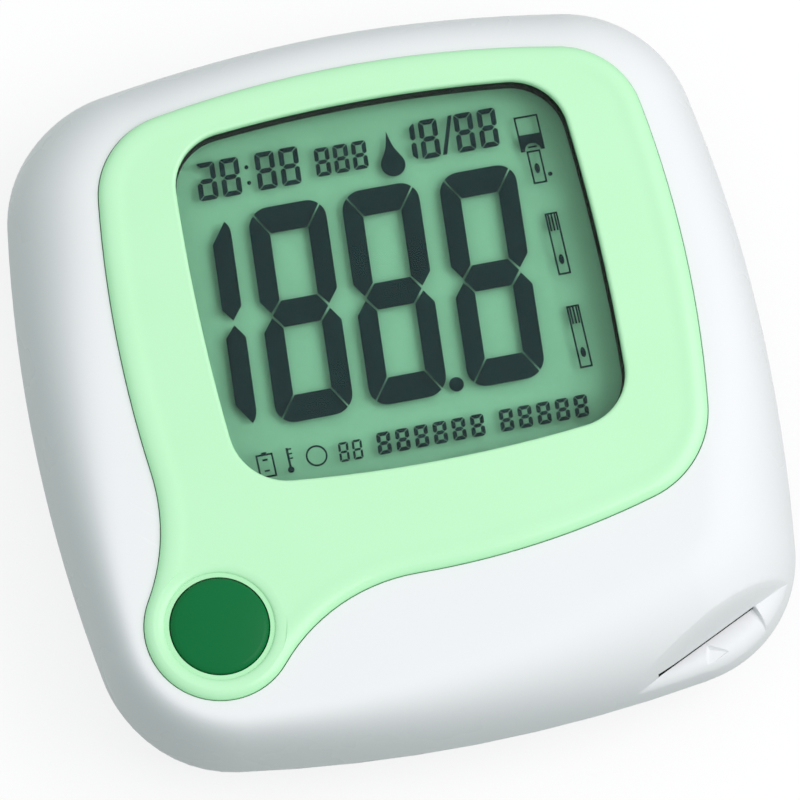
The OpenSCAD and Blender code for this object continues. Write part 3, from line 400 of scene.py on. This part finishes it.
HALF = 43.0
SEAM_Z, CROWN_Z = 10.5, 23.4
BULGE_R, CORNER_R = 178, 15.9
BODY_ARCS = bulged_box(Vector((0, 0)), HALF, HALF, BULGE_R, BULGE_R, CORNER_R, 16, 20)
print("body:", 2 * HALF, "mm square, outline of", len(outline(BODY_ARCS)), "points")

# %% [markdown]
# A moulded shell is modelled from one contour to the next. A circle primitive gets one vertex for each
# point of the first contour. Its edge is then extruded again and again, and each new edge loop is put on the
# next contour. This gives even quads that follow the form, so that highlights run smoothly along it, which a
# subdivided box would not do at the meeting of three roundings.

# %% Shape a piece contour by contour
WELD_MM = 0.002  # points closer than this are one point


def deselect_all():
    if bpy.context.object and bpy.context.object.mode != "OBJECT":
        bpy.ops.object.mode_set(mode="OBJECT")
    bpy.ops.object.select_all(action="DESELECT")


def only(piece):
    deselect_all()
    piece.select_set(True)
    bpy.context.view_layer.objects.active = piece


def finder(points):
    """Finds the drawn point nearest to a vertex, whose own numbers are rounded a little"""
    tree = KDTree(len(points))
    for i, point in enumerate(points):
        tree.insert(Vector(point) * MM, i)
    tree.balance()
    return tree


def contour_by_contour(name, contours):
    deselect_all()
    bpy.ops.mesh.primitive_circle_add(vertices=len(contours[0]), radius=MM)
    piece = bpy.context.object
    piece.name = name
    for vertex, point in zip(piece.data.vertices, contours[0]):
        vertex.co = Vector(point) * MM
    bpy.ops.object.mode_set(mode="EDIT")
    bpy.ops.mesh.select_all(action="SELECT")
    for old, new in zip(contours, contours[1:]):
        bpy.ops.mesh.extrude_region_move()
        mesh = bmesh.from_edit_mesh(piece.data)
        places = finder(old)
        for vertex in mesh.verts:
            if vertex.select:
                vertex.co = Vector(new[places.find(vertex.co)[1]]) * MM
    bmesh.update_edit_mesh(piece.data)
    bpy.ops.object.mode_set(mode="OBJECT")
    return piece


def joined(name, pieces):
    deselect_all()
    for piece in pieces:
        piece.select_set(True)
    bpy.context.view_layer.objects.active = pieces[0]
    bpy.ops.object.join()
    pieces[0].name = name
    return pieces[0]


def fill_between(piece, *contours):
    """Closes the flat area between contours, such as an edge and the window in it"""
    places = finder([point for contour in contours for point in contour])
    only(piece)
    bpy.ops.object.mode_set(mode="EDIT")
    bpy.ops.mesh.select_mode(type="VERT")
    bpy.ops.mesh.select_all(action="DESELECT")
    mesh = bmesh.from_edit_mesh(piece.data)
    for vertex in mesh.verts:
        vertex.select = places.find(vertex.co)[2] < WELD_MM * MM
    mesh.select_flush(True)
    bmesh.update_edit_mesh(piece.data)
    bpy.ops.mesh.fill(use_beauty=True)
    bpy.ops.object.mode_set(mode="OBJECT")


def close_up(piece):
    """Merges doubles, points the faces outwards and says whether the shell is closed"""
    only(piece)
    bpy.ops.object.mode_set(mode="EDIT")
    bpy.ops.mesh.select_all(action="SELECT")
    bpy.ops.mesh.remove_doubles(threshold=WELD_MM * MM)
    bpy.ops.mesh.normals_make_consistent(inside=False)
    mesh = bmesh.from_edit_mesh(piece.data)
    open_edges = sum(1 for edge in mesh.edges if len(edge.link_faces) != 2)
    bpy.ops.object.mode_set(mode="OBJECT")
    print(piece.name, len(piece.data.polygons), "faces,", open_edges, "open edges")


def cut(piece, tool, operation="DIFFERENCE"):
    """Cuts a piece with a tool piece, as a mould core does, and removes the tool"""
    step = piece.modifiers.new("cut", "BOOLEAN")
    step.operation = operation
    step.object = tool
    step.solver = "EXACT"
    only(piece)
    bpy.ops.object.modifier_apply(modifier=step.name)
    bpy.data.objects.remove(tool)


def smooth(piece, angle=30):
    only(piece)
    bpy.ops.object.shade_smooth_by_angle(angle=math.radians(angle))
    even = piece.modifiers.new("even_light", "WEIGHTED_NORMAL")
    even.keep_sharp = True
    bpy.ops.object.modifier_apply(modifier=even.name)


# %% [markdown]
# The fascia is a separate moulding that sits in a shallow seat of the white shell. Its outline has four
# bulging sides and a tail that runs round the button through two hollow curves. Its rim is a rounded bead
# about two millimetres wide, with a flat field inside it.

# %% Fascia outline
BUTTON_AT = Vector((-27.9, -27.0))
TAIL_R = 8.5
FASCIA_RIGHT, FASCIA_TOP_Y, FASCIA_LEFT, FASCIA_BOTTOM = 33.95, 35.75, -32.4, -25.1
WIDE_R, LEFT_R, BOTTOM_R = 132, 142, 98
WINDOW_AT = Vector((0.9, 9.25))


def fascia_outline_arcs():
    right = (Vector((FASCIA_RIGHT - WIDE_R, 8.2)), WIDE_R, 1, 14)
    top = (Vector((0.5, FASCIA_TOP_Y - WIDE_R)), WIDE_R, 1, 14)
    left = (Vector((LEFT_R + FASCIA_LEFT, 5.7)), LEFT_R, 1, 14)
    bottom = (Vector((-2.6, BOTTOM_R + FASCIA_BOTTOM)), BOTTOM_R, 1, 14)
    tail = (BUTTON_AT, TAIL_R, 1, 36)
    return [right, rounding(right, top, 9.7, 16), top, rounding(top, left, 10.2, 16), left,
            hollow(left, tail, 24, 14), tail, hollow(tail, bottom, 22, 14),
            bottom, rounding(bottom, right, 11.8, 16)]


FASCIA_ARCS = fascia_outline_arcs()
WINDOW_ARCS = bulged_box(WINDOW_AT, half_w=23.55, half_h=22, bulge_w=240, bulge_h=166, corner=6.6,
                         side_steps=12, corner_steps=12)
print("outlines:", len(outline(BODY_ARCS)), len(outline(FASCIA_ARCS)), len(outline(WINDOW_ARCS)), "points")

# %% [markdown]
# The white front shell is one moulding. The contours start on the flat crown, roll over to the flank and go
# down to the parting line. They turn inwards there, along the step that takes the rear shell's lip, and come
# back up inside to the ceiling, so the wall has its real thickness. Along the sides the roll-over is squarer
# than an ellipse. It is softer at the corners, where the crown draws back. Only beside the button it reaches
# further out, so that the tail of the fascia has room. The seat of the fascia and the window are then cut.

# %% How the front shell rolls over
RISE = CROWN_Z - SEAM_Z
LEAN = 0.12 * RISE  # how far the flank leans inwards over its whole height
ROLL_W, ROLL_POWER = 7.5, 3.0  # a power of 2 would be an ellipse
CORNER_REACH = (0.15, 0.2, -0.6, 0.4)
CORNER_ROUND = (0.5, 0.7, 0.0, 1.2)
CORNER_FOCUS = 6  # how closely the corner values keep to their corners


def at_corners(way, values):
    """What a direction takes from four values that belong to the corners at 45, 135, 225 and 315 degrees"""
    shares = [max(0.0, math.cos(way - math.radians(45 + 90 * i))) ** CORNER_FOCUS for i in range(4)]
    return sum(value * share for value, share in zip(values, shares))


def roll(turn, power):
    """Shares of the roll-over's width and height, from the flank (turn 0) to the crown (a right angle)"""
    span = (abs(math.cos(turn)) ** power + math.sin(turn) ** power) ** (1 / power)
    return 1 - math.cos(turn) / span, math.sin(turn) / span


def front_contour(turn, skin, top):
    points = []
    for rim, inner in zip(outline(BODY_ARCS, skin), outline(BODY_ARCS, skin + 1)):
        way = heading(rim)
        across, up = roll(turn, ROLL_POWER - at_corners(way, CORNER_ROUND))
        inset = (1 + at_corners(way, CORNER_REACH)) * ((ROLL_W - skin) * across + LEAN * up)
        point = rim + inset * (inner - rim)
        points.append((point.x, point.y, SEAM_Z + (top - SEAM_Z) * up))
    return points


def front_contours(skin, top, steps):
    """From the crown's edge down to the parting line"""
    return [front_contour(math.pi / 2 * i / steps, skin, top) for i in range(steps, -1, -1)]


print("roll-over: at half its turn", [round(share, 2) for share in roll(math.pi / 4, ROLL_POWER)])

# %% Front shell
WALL = 2.2
CEILING_Z, TAPE_Z, SEAT_Z = 21.4, 22.2, 22.3
LIP_IN, LIP_H = 1.4, 1.75
INSIDE_FROM_Z = 13  # the inner contours start above the lip
SEAT_GAP = 0.08


def front_shell():
    outside = front_contours(0, CROWN_Z, 24)
    step = [raised(outline(BODY_ARCS, LIP_IN), SEAM_Z), raised(outline(BODY_ARCS, LIP_IN), SEAM_Z + LIP_H),
            raised(outline(BODY_ARCS, WALL), SEAM_Z + LIP_H)]
    inside = [contour for contour in reversed(front_contours(WALL, CEILING_Z, 10))
              if min(z for x, y, z in contour) > INSIDE_FROM_Z]
    shell = contour_by_contour("front_shell", outside + step + inside)
    fill_between(shell, outside[0])
    fill_between(shell, inside[-1])
    close_up(shell)
    return shell


def plug(name, arcs, levels):
    """A straight core for a Boolean cut; each level is (how far it stands outside the outline, height)"""
    rings = [raised(outline(arcs, -out), z) for out, z in levels]
    core = contour_by_contour(name, rings)
    fill_between(core, rings[0])
    fill_between(core, rings[-1])
    close_up(core)
    return core


shell = front_shell()
# The upper edge of the seat is rounded over a tenth of a millimetre, as a mould edge is
cut(shell, plug("seat", FASCIA_ARCS, [
    (SEAT_GAP, SEAT_Z), (SEAT_GAP, CROWN_Z - 0.12), (SEAT_GAP + 0.015, CROWN_Z - 0.045),
    (SEAT_GAP + 0.05, CROWN_Z - 0.012), (SEAT_GAP + 0.1, CROWN_Z + 0.004), (SEAT_GAP + 0.1, 30)]))
cut(shell, plug("window", WINDOW_ARCS, [(0, CEILING_Z - 1), (0, TAPE_Z), (1, TAPE_Z), (1, SEAT_Z + 1)]))

# %% [markdown]
# The strip port is scooped into the lower right corner: a nearly level ledge on which a strip is laid, a
# steep wall behind it and the slot between them. On the real moulding every edge of the scoop melts into the
# pillow shape. A cutter with hard edges would leave hard edges, and a bevel put on afterwards tangles with
# the fine quads of the roll-over. So the cutter itself is a soft surface: its height is the lower of the
# body's skin and the scoop, blended where the two come close.

# %% Where the strip port is, and the skin over it
PORT_ANGLE = math.radians(25)
PORT_ALONG = Vector((math.cos(PORT_ANGLE), math.sin(PORT_ANGLE)))
PORT_INWARD = Vector((-math.sin(PORT_ANGLE), math.cos(PORT_ANGLE)))
RIGHT_SIDE, LOWER_SIDE, LOWER_RIGHT_CORNER = BODY_ARCS[0], BODY_ARCS[6], BODY_ARCS[7]
PORT_DEPTH, PORT_SHIFT = 3.85, 3
PORT_AT = LOWER_RIGHT_CORNER[0] - (CORNER_R - PORT_DEPTH) * PORT_INWARD - PORT_SHIFT * PORT_ALONG
HALVINGS = 24
OUTSIDE_FALL = 20  # outside the body the cutter drops away this steeply
print("strip port at", [round(c, 2) for c in PORT_AT])


def port_point(u, v):
    return PORT_AT + u * PORT_ALONG + v * PORT_INWARD


def inset_at(point):
    """How far a point near the lower right corner lies inside the parting line, and where that line is met"""
    corner = LOWER_RIGHT_CORNER
    turn = heading(point - corner[0])
    in_corner = heading(meeting(LOWER_SIDE, corner)) < turn < heading(meeting(corner, RIGHT_SIDE))
    arcs = [corner] if in_corner else [RIGHT_SIDE, LOWER_SIDE]
    arc = min(arcs, key=lambda arc: arc[1] - (point - arc[0]).length)
    away = point - arc[0]
    return arc[1] - away.length, heading(arc[0] + arc[1] * away.normalized())


def skin_height(inset, way):
    """Height of the front shell where it lies so far inside the parting line, found by halving the turn"""
    if inset <= 0:
        return SEAM_Z + OUTSIDE_FALL * inset
    power = ROLL_POWER - at_corners(way, CORNER_ROUND)
    share = inset / (1 + at_corners(way, CORNER_REACH))
    if share >= ROLL_W + LEAN:
        return CROWN_Z
    low, high = 0.0, math.pi / 2
    for _ in range(HALVINGS):
        turn = (low + high) / 2
        across, up = roll(turn, power)
        low, high = (turn, high) if ROLL_W * across + LEAN * up < share else (low, turn)
    return SEAM_Z + RISE * roll(low, power)[1]


# %% Soft cutter for the strip port
LEDGE_Z, SLOT_H, SLOT_W = 14.0, 1.0, 13.9
FACET_RISE, FACET_EDGE = 0.8, 0.3  # the ledge is higher beside the slot, with a passage this wide
WALL_LEAN = 0.24
WALL_FOOT = 0.06  # the wall starts over the slot, this far behind the ledge's end
LEDGE_SLOPE = 0.06
BLEND_AT_WALL, BLEND_AT_LEDGE = 4.0, 3.0
COVER = 0.05  # the cutter runs this far over the skin, so that it leaves no film
ABOVE_ALL_Z = 40


def blend_down(a, b, reach):
    """The lower of two heights, with a soft passage where they are closer than reach"""
    near = max(reach - abs(a - b), 0) / reach
    return min(a, b) - near * near * reach / 4


def scoop_height(u, v):
    step = min(max((u - SLOT_W / 2) / FACET_EDGE + 0.5, 0), 1)
    level = LEDGE_Z + FACET_RISE * step * step * (3 - 2 * step)
    ledge = level + LEDGE_SLOPE * min(v, 0)
    return ledge + max(v, 0) / WALL_LEAN + min(max(v, 0) / WALL_FOOT, 1) * (LEDGE_Z + SLOT_H - level)


def cutter_height(u, v):
    inset, way = inset_at(port_point(u, v))
    skin = skin_height(inset + 2 * COVER, way) + COVER
    return blend_down(skin, scoop_height(u, v), BLEND_AT_WALL if v > 0 else BLEND_AT_LEDGE)


def spaced(start, stop, step):
    """Evenly spaced values, about a step apart"""
    count = round((stop - start) / step)
    return [start + (stop - start) * i / count for i in range(count + 1)]


def port_cutter():
    """A grid whose lines are close at the slot's end and along the wall, pulled up to a closed block"""
    slot_end = SLOT_W / 2
    across = spaced(-21, 6.4, 0.4) + [6.6, 6.75] + [slot_end + d for d in (-0.15, -0.08, 0, 0.08, 0.15)]
    across += [7.3, 7.5] + spaced(7.9, 15.9, 0.4)
    inward = spaced(-9, -0.3, 0.3) + [-0.1, 0, 0.06] + spaced(0.16, 3.6, 0.08) + spaced(3.9, 9, 0.3)
    deselect_all()
    bpy.ops.mesh.primitive_grid_add(x_subdivisions=len(across) - 1, y_subdivisions=len(inward) - 1, size=MM)
    cutter = bpy.context.object
    for i, vertex in enumerate(cutter.data.vertices):
        u, v = across[i % len(across)], inward[i // len(across)]
        vertex.co = Vector((*port_point(u, v), cutter_height(u, v))) * MM
    bpy.ops.object.mode_set(mode="EDIT")
    bpy.ops.mesh.select_all(action="SELECT")
    bpy.ops.mesh.extrude_region_move()
    mesh = bmesh.from_edit_mesh(cutter.data)
    for vertex in mesh.verts:
        if vertex.select:
            vertex.co.z = ABOVE_ALL_Z * MM
    bmesh.update_edit_mesh(cutter.data)
    bpy.ops.object.mode_set(mode="OBJECT")
    cutter.name = "port_cutter"
    close_up(cutter)
    return cutter


# %% Cut the port, the slot, the triangle and the button's bore
SHELL_BORE_R, CAP_BORE_R = 6.4, 5.72


def block(name, corner_a, corner_b):
    """A box between two corners in the port's own directions"""
    deselect_all()
    bpy.ops.mesh.primitive_cube_add(size=1)
    box = bpy.context.object
    box.name = name
    low = [min(a, b) for a, b in zip(corner_a, corner_b)]
    high = [max(a, b) for a, b in zip(corner_a, corner_b)]
    for vertex in box.data.vertices:
        u, v, z = (h if c > 0 else l for c, l, h in zip(vertex.co, low, high))
        vertex.co = Vector((*port_point(u, v), z)) * MM
    return box


def port_backing():
    """The wall and floor behind the scoop, kept inside the thickness of the shell's wall"""
    rings = front_contours(1.1, CROWN_Z - 1.0, 10)
    core = contour_by_contour("port_backing", rings)
    fill_between(core, rings[0])
    fill_between(core, rings[-1])
    close_up(core)
    deselect_all()
    slab = block("slab", (-22, -9, LEDGE_Z - 1.8), (16, 1.8, ABOVE_ALL_Z))
    for vertex in slab.data.vertices:
        x, y, z = vertex.co / MM
        inner = (Vector((x, y)) - PORT_AT).dot(PORT_INWARD) > 0
        if z > CROWN_Z and inner:
            vertex.co = Vector((*(Vector((x, y)) + WALL_LEAN * (z - LEDGE_Z) * PORT_INWARD), z)) * MM
    cut(core, slab, "INTERSECT")
    return core


def triangle_recess():
    """The sunk triangle that shows which way a strip goes in; its sides slope"""
    brim = [(-0.1, -0.1), (-2.45, -2.75), (2.0, -2.5)]
    floor = [(-0.02, -0.8), (-1.5, -2.3), (1.5, -2.15)]
    heights = [LEDGE_Z + 0.1, LEDGE_Z - 0.4]
    rings = [[(*port_point(u, v), z + LEDGE_SLOPE * v) for u, v in corners]
             for corners, z in zip((brim, floor), heights)]
    tool = contour_by_contour("triangle", rings)
    fill_between(tool, rings[0])
    fill_between(tool, rings[1])
    close_up(tool)
    return tool


cut(shell, port_backing(), "UNION")
cut(shell, port_cutter())
cut(shell, block("slot", (-SLOT_W / 2, -0.02, LEDGE_Z), (SLOT_W / 2, 2.6, LEDGE_Z + SLOT_H)))
cut(shell, block("slot_well", (-SLOT_W / 2, 0.06, LEDGE_Z - 1.2), (SLOT_W / 2, 1.2, LEDGE_Z + 0.5)))
cut(shell, triangle_recess())


def disc(name, middle, radius, z0, z1, steps=96):
    deselect_all()
    bpy.ops.mesh.primitive_cylinder_add(vertices=steps, radius=radius * MM, depth=(z1 - z0) * MM,
                                        location=(middle.x * MM, middle.y * MM, (z0 + z1) / 2 * MM))
    bpy.ops.object.transform_apply(location=True, rotation=True, scale=True)
    bpy.context.object.name = name
    return bpy.context.object


cut(shell, disc("button_bore", BUTTON_AT, SHELL_BORE_R, 15, 25))
smooth(shell, 35)
shell.data.materials.append(shell_white)
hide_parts("front_housing")
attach(shell, "meter")
print("front shell:", len(shell.data.polygons), "faces")

# %% [markdown]
# The mint fascia is made in the same way. Its contours start at its underside, rise over the bead of the
# rim and sink softly to the flat field. The window has a rounded edge and a rebate below it for the lens.
# The button lies in a dish with a flat ledge and a shoulder that rounds up to the bead. The dish is a small
# profile that is spun round the button's axis and then taken away from the fascia.

# %% Fascia
FIELD_Z = 24.2
RIM_W, RIM_H = 1.8, 0.9
FIELD_PASSAGE = ((2.05, 0.008), (2.3, 0.028), (2.6, 0.06), (2.9, 0.085), (3.2, 0.097), (3.5, 0.1))
LENS_BORDER = 1.1
LENS_Z = SEAT_Z + 1.0
WINDOW_ROUND = 0.45
WINDOW_FLAT = 0.7  # the field is filled up to here, so that its triangles keep off the rounded edge


def fascia_plate():
    """The rounded bead, its soft passage down to the field (how far in, how far down), then the window"""
    side = [raised(outline(FASCIA_ARCS, 0.0), SEAT_Z)]
    for i in range(13):
        turn = math.pi / 2 * i / 12
        side.append(raised(outline(FASCIA_ARCS, RIM_W * (1 - math.cos(turn))),
                           CROWN_Z + RIM_H * math.sin(turn)))
    for across, down in FIELD_PASSAGE:
        side.append(raised(outline(FASCIA_ARCS, across), CROWN_Z + RIM_H - down))
    plate = contour_by_contour("fascia_plate", side)
    edge = [raised(outline(WINDOW_ARCS, -WINDOW_FLAT), FIELD_Z)]
    for i in range(7):
        turn = math.pi / 2 * i / 6
        edge.append(raised(outline(WINDOW_ARCS, -WINDOW_ROUND * (1 - math.sin(turn))),
                           FIELD_Z - WINDOW_ROUND * (1 - math.cos(turn))))
    edge += [raised(outline(WINDOW_ARCS), LENS_Z), raised(outline(WINDOW_ARCS, -LENS_BORDER), LENS_Z),
             raised(outline(WINDOW_ARCS, -LENS_BORDER), SEAT_Z)]
    window = contour_by_contour("window_edge", edge)
    plate = joined("fascia_plate", [plate, window])
    fill_between(plate, side[-1], edge[0])
    fill_between(plate, side[0], edge[-1])
    close_up(plate)
    return plate


# %% Dish round the button, then the finished fascia
DISH_Z, LEDGE_R = 23.8, 6.2
SHOULDER_W, SHOULDER_H = 1.35, 0.4
FILLET_W, FILLET_H = 0.05, 0.005  # the passage from the ledge to the shoulder
INSIDE_R, ABOVE_Z = 5, 26


def dish_tool():
    """A ledge and a shoulder that ends level with the field, spun round the button"""
    profile = [(INSIDE_R, DISH_Z), (LEDGE_R, DISH_Z)]
    for i in range(13):
        turn = math.pi / 2 * i / 12
        profile.append((LEDGE_R + FILLET_W + SHOULDER_W * (1 - math.cos(turn)),
                        DISH_Z + FILLET_H + SHOULDER_H * math.sin(turn)))
    profile += [(LEDGE_R + FILLET_W + SHOULDER_W, ABOVE_Z), (INSIDE_R, ABOVE_Z)]
    deselect_all()
    bpy.ops.mesh.primitive_circle_add(vertices=len(profile), radius=MM)
    tool = bpy.context.object
    tool.name = "dish"
    for vertex, (across, z) in zip(tool.data.vertices, profile):
        vertex.co = Vector((BUTTON_AT.x + across, BUTTON_AT.y, z)) * MM
    bpy.ops.object.mode_set(mode="EDIT")
    bpy.ops.mesh.select_all(action="SELECT")
    bpy.ops.mesh.spin(steps=120, angle=2 * math.pi, center=(*(BUTTON_AT * MM), 0), axis=(0, 0, 1),
                      dupli=False)
    bpy.ops.object.mode_set(mode="OBJECT")
    close_up(tool)
    return tool


fascia = fascia_plate()
cut(fascia, dish_tool())
cut(fascia, disc("bore", BUTTON_AT, CAP_BORE_R, 20, ABOVE_Z))
cut(fascia, disc("flange_room", BUTTON_AT, SHELL_BORE_R, 21, 22.9))
smooth(fascia, 35)
fascia.data.materials.append(fascia_mint)
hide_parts("fascia")
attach(fascia, "meter")
print("fascia:", len(fascia.data.polygons), "faces")

# %% [markdown]
# A ring of black foam lies between the display and the lens, and its flange is glued under the lens's border.
# It keeps dust out, and its black is also painted shade: it makes the window's inner edge look black and not
# white, as the shade there does. Its section is an angle: the contours run once round that angle and end
# where they began.

# %% Foam gasket round the display, black foam in the slot, both as painted shade
GLUE = 0.01
FOAM_FACE, FOAM_BACK, FLANGE_OUT = 0.14, 0.02, -0.9  # how far inside the window's edge
FOAM_FOOT_Z, FLANGE_LOW_Z, FLANGE_TOP_Z = CEILING_Z - 0.1, TAPE_Z + GLUE, SEAT_Z - GLUE


def shade_foam_gasket():
    section = [(FOAM_FACE, FOAM_FOOT_Z), (FOAM_FACE, FLANGE_TOP_Z), (FLANGE_OUT, FLANGE_TOP_Z),
               (FLANGE_OUT, FLANGE_LOW_Z), (FOAM_BACK, FLANGE_LOW_Z), (FOAM_BACK, FOAM_FOOT_Z),
               (FOAM_FACE, FOAM_FOOT_Z)]
    ring = contour_by_contour("shade_foam_gasket", [raised(outline(WINDOW_ARCS, d), z) for d, z in section])
    close_up(ring)
    smooth(ring)
    # the black of this ring is painted shade along the window's inner edge
    ring.data.materials.append(black_shade_foam)
    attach(ring, "meter")


def slot_shade_filler():
    """A strip of the same black foam in the well behind the slot: painted shade that makes the slot a dark
    line
    """
    end = SLOT_W / 2 - 0.1
    seal = block("slot_shade_filler", (-end, 0.1, LEDGE_Z - 1.1), (end, 1.1, LEDGE_Z - 0.02))
    close_up(seal)
    smooth(seal)
    # the black of this strip is painted shade in the slot
    seal.data.materials.append(black_shade_foam)
    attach(seal, "meter")


shade_foam_gasket()
slot_shade_filler()

# %% [markdown]
# The other working parts stay as the CAD model gives them. Their surfaces are loose triangles, so a Weld
# modifier first joins them. The sharp edges are then split, and the Weighted Normal modifier lets large flat
# faces keep their own direction, so that the light runs evenly over them.

# %% Finish the CAD solids
FINISHES = {
    shell_white: ["front_housing", "rear_housing", "battery_door"],
    fascia_mint: ["fascia"],
    lens_acrylic: ["display_lens"],
    display_glass: ["lcd_front_glass", "lcd_rear_glass"],
    polarizer_film: ["front_polarizer"],
    reflector_film: ["lcd_reflector"],
    segment_ink: ["lcd_segments"],
    seal_epoxy: ["lcd_seal"],
    tray_plastic: ["lcd_frame"],
    zebra_rubber: ["zebra_connector"],
    laminate: ["main_board"],
    chip_epoxy: ["microcontroller", "analog_chip", "memory_chip", "temperature_sensor", "buzzer",
                 "main_switch_body", "set_switch_body"],
    nickel: ["clock_crystal", "battery_springs", "terminal_plates", "bridge_plate"],
    zinc: ["housing_screws", "board_screws"],
    gold: ["strip_contacts"],
    capacitor_ceramic: ["board_capacitors"],
    plunger_plastic: ["main_switch_plunger", "set_switch_plunger"],
    button_green: ["main_button"],
    set_button_grey: ["set_button"],
    connector_plastic: ["strip_connector"],
    can_label: ["battery_cell_1", "battery_cell_2"],
    foot_rubber: ["rubber_feet"],
}


NODE_WELD_MM = 0.003
SHARP = math.radians(32)


def finish_node(node, material):
    node.data.materials.clear()
    node.data.materials.append(material)
    for face in node.data.polygons:
        face.use_smooth = True
    weld = node.modifiers.new("weld", "WELD")
    weld.merge_threshold = NODE_WELD_MM * MM
    split = node.modifiers.new("split", "EDGE_SPLIT")
    split.split_angle = SHARP
    node.modifiers.new("even_light", "WEIGHTED_NORMAL")


for material, names in FINISHES.items():
    for name in names:
        finish_node(nodes[name], material)
print("finished", sum(len(names) for names in FINISHES.values()), "of", len(nodes), "CAD solids")

# %% [markdown]
# The meter lies on a white sheet. A camera, a mirror or a window sees that sheet as plain white; what it
# sends back to the object is dimmer, as in a studio where the light is kept off the table. The dome over it
# is nearly even and only falls off towards the ground, where it is a little green. One wide soft box stands
# at the right. With these three, the white flanks turn grey-green where they curve away to the left, and the
# top stays just below pure white.

# %% Table, dome and soft box
def seen_directly(tree):
    """1 for the camera and for rays that a mirror or a window sends on"""
    light = add_node(tree, "ShaderNodeLightPath")
    mirror = add_node(tree, "ShaderNodeMath", {"operation": "MAXIMUM"}, _0=light.outputs["Is Glossy Ray"],
                      _1=light.outputs["Is Transmission Ray"])
    both = add_node(tree, "ShaderNodeMath", {"operation": "MAXIMUM"}, _0=light.outputs["Is Camera Ray"],
                    _1=mirror.outputs[0])
    return both.outputs[0]


# %% White table
TABLE_Z = -0.02  # a hair under the feet, so that no two faces share one plane
TABLE_METRES = 4
GLOW_SHARE = 0.8  # the rest is lit, so that it shows the meter's shadow


def add_table():
    deselect_all()
    bpy.ops.mesh.primitive_plane_add(size=TABLE_METRES, location=(0, 0, TABLE_Z * MM))
    bpy.ops.object.transform_apply(location=True, rotation=False, scale=False)
    table = bpy.context.object
    table.name = "table"
    material, tree = new_material("matt white paper, studio table")
    paper = add_node(tree, "ShaderNodeBsdfDiffuse", Color=linear("#43524b"))
    bright = add_node(tree, "ShaderNodeBsdfDiffuse", Color=linear("#ffffff"))
    glow = add_node(tree, "ShaderNodeEmission", Color=linear("#ffffff"), Strength=1.0)
    white = add_node(tree, "ShaderNodeMixShader", _0=GLOW_SHARE, _1=bright.outputs[0], _2=glow.outputs[0])
    surface = add_node(tree, "ShaderNodeMixShader", _0=seen_directly(tree), _1=paper.outputs[0],
                       _2=white.outputs[0])
    finish_material(tree, surface.outputs[0])
    table.data.materials.append(material)


add_table()
print("table:", TABLE_METRES, "m square,", round(GLOW_SHARE * 100), "% glow")

# %% Dome and soft box
HORIZON, ZENITH, OPEN_SKY = (0.55, 0.69, 0.66, 1), (0.70, 0.73, 0.73, 1), (1, 1, 1, 1)
DOME_EVEN_FROM = 0.55  # share of the dome's height from which it is even
BOX_TINT = (1.0, 0.93, 0.95)


def add_dome():
    world = bpy.data.worlds.new("studio_dome")
    bpy.context.scene.world = world
    world.use_nodes = True
    tree = world.node_tree
    tree.nodes.clear()
    direction = add_node(tree, "ShaderNodeTexCoord").outputs["Generated"]
    axis = add_node(tree, "ShaderNodeSeparateXYZ", Vector=direction)
    height = add_node(tree, "ShaderNodeMapRange", Value=axis.outputs[2], From_Min=0.0,
                      From_Max=DOME_EVEN_FROM)
    shown = mixed(tree, seen_directly(tree), mixed(tree, height.outputs[0], HORIZON, ZENITH), OPEN_SKY)
    sky = add_node(tree, "ShaderNodeBackground", Color=shown, Strength=1.0)
    add_node(tree, "ShaderNodeOutputWorld", Surface=sky.outputs[0])


def add_soft_box(name, azimuth, elevation, distance, size, power):
    data = bpy.data.lights.new(name, "AREA")
    data.size = size
    data.energy = power
    data.color = BOX_TINT
    lamp = bpy.data.objects.new(name, data)
    a, e = math.radians(azimuth), math.radians(elevation)
    way = Vector((math.cos(e) * math.cos(a), math.cos(e) * math.sin(a), math.sin(e)))
    lamp.location = LOOK_AT + way * distance
    lamp.rotation_euler = way.to_track_quat("Z", "Y").to_euler()
    bpy.context.scene.collection.objects.link(lamp)


add_dome()
add_soft_box("soft_box", azimuth=-14, elevation=50, distance=0.9, size=0.7, power=4.1)

scene = bpy.context.scene
scene.view_settings.view_transform = "Standard"
scene.cycles.transparent_max_bounces = 32  # a ray may pass many clear films one after another
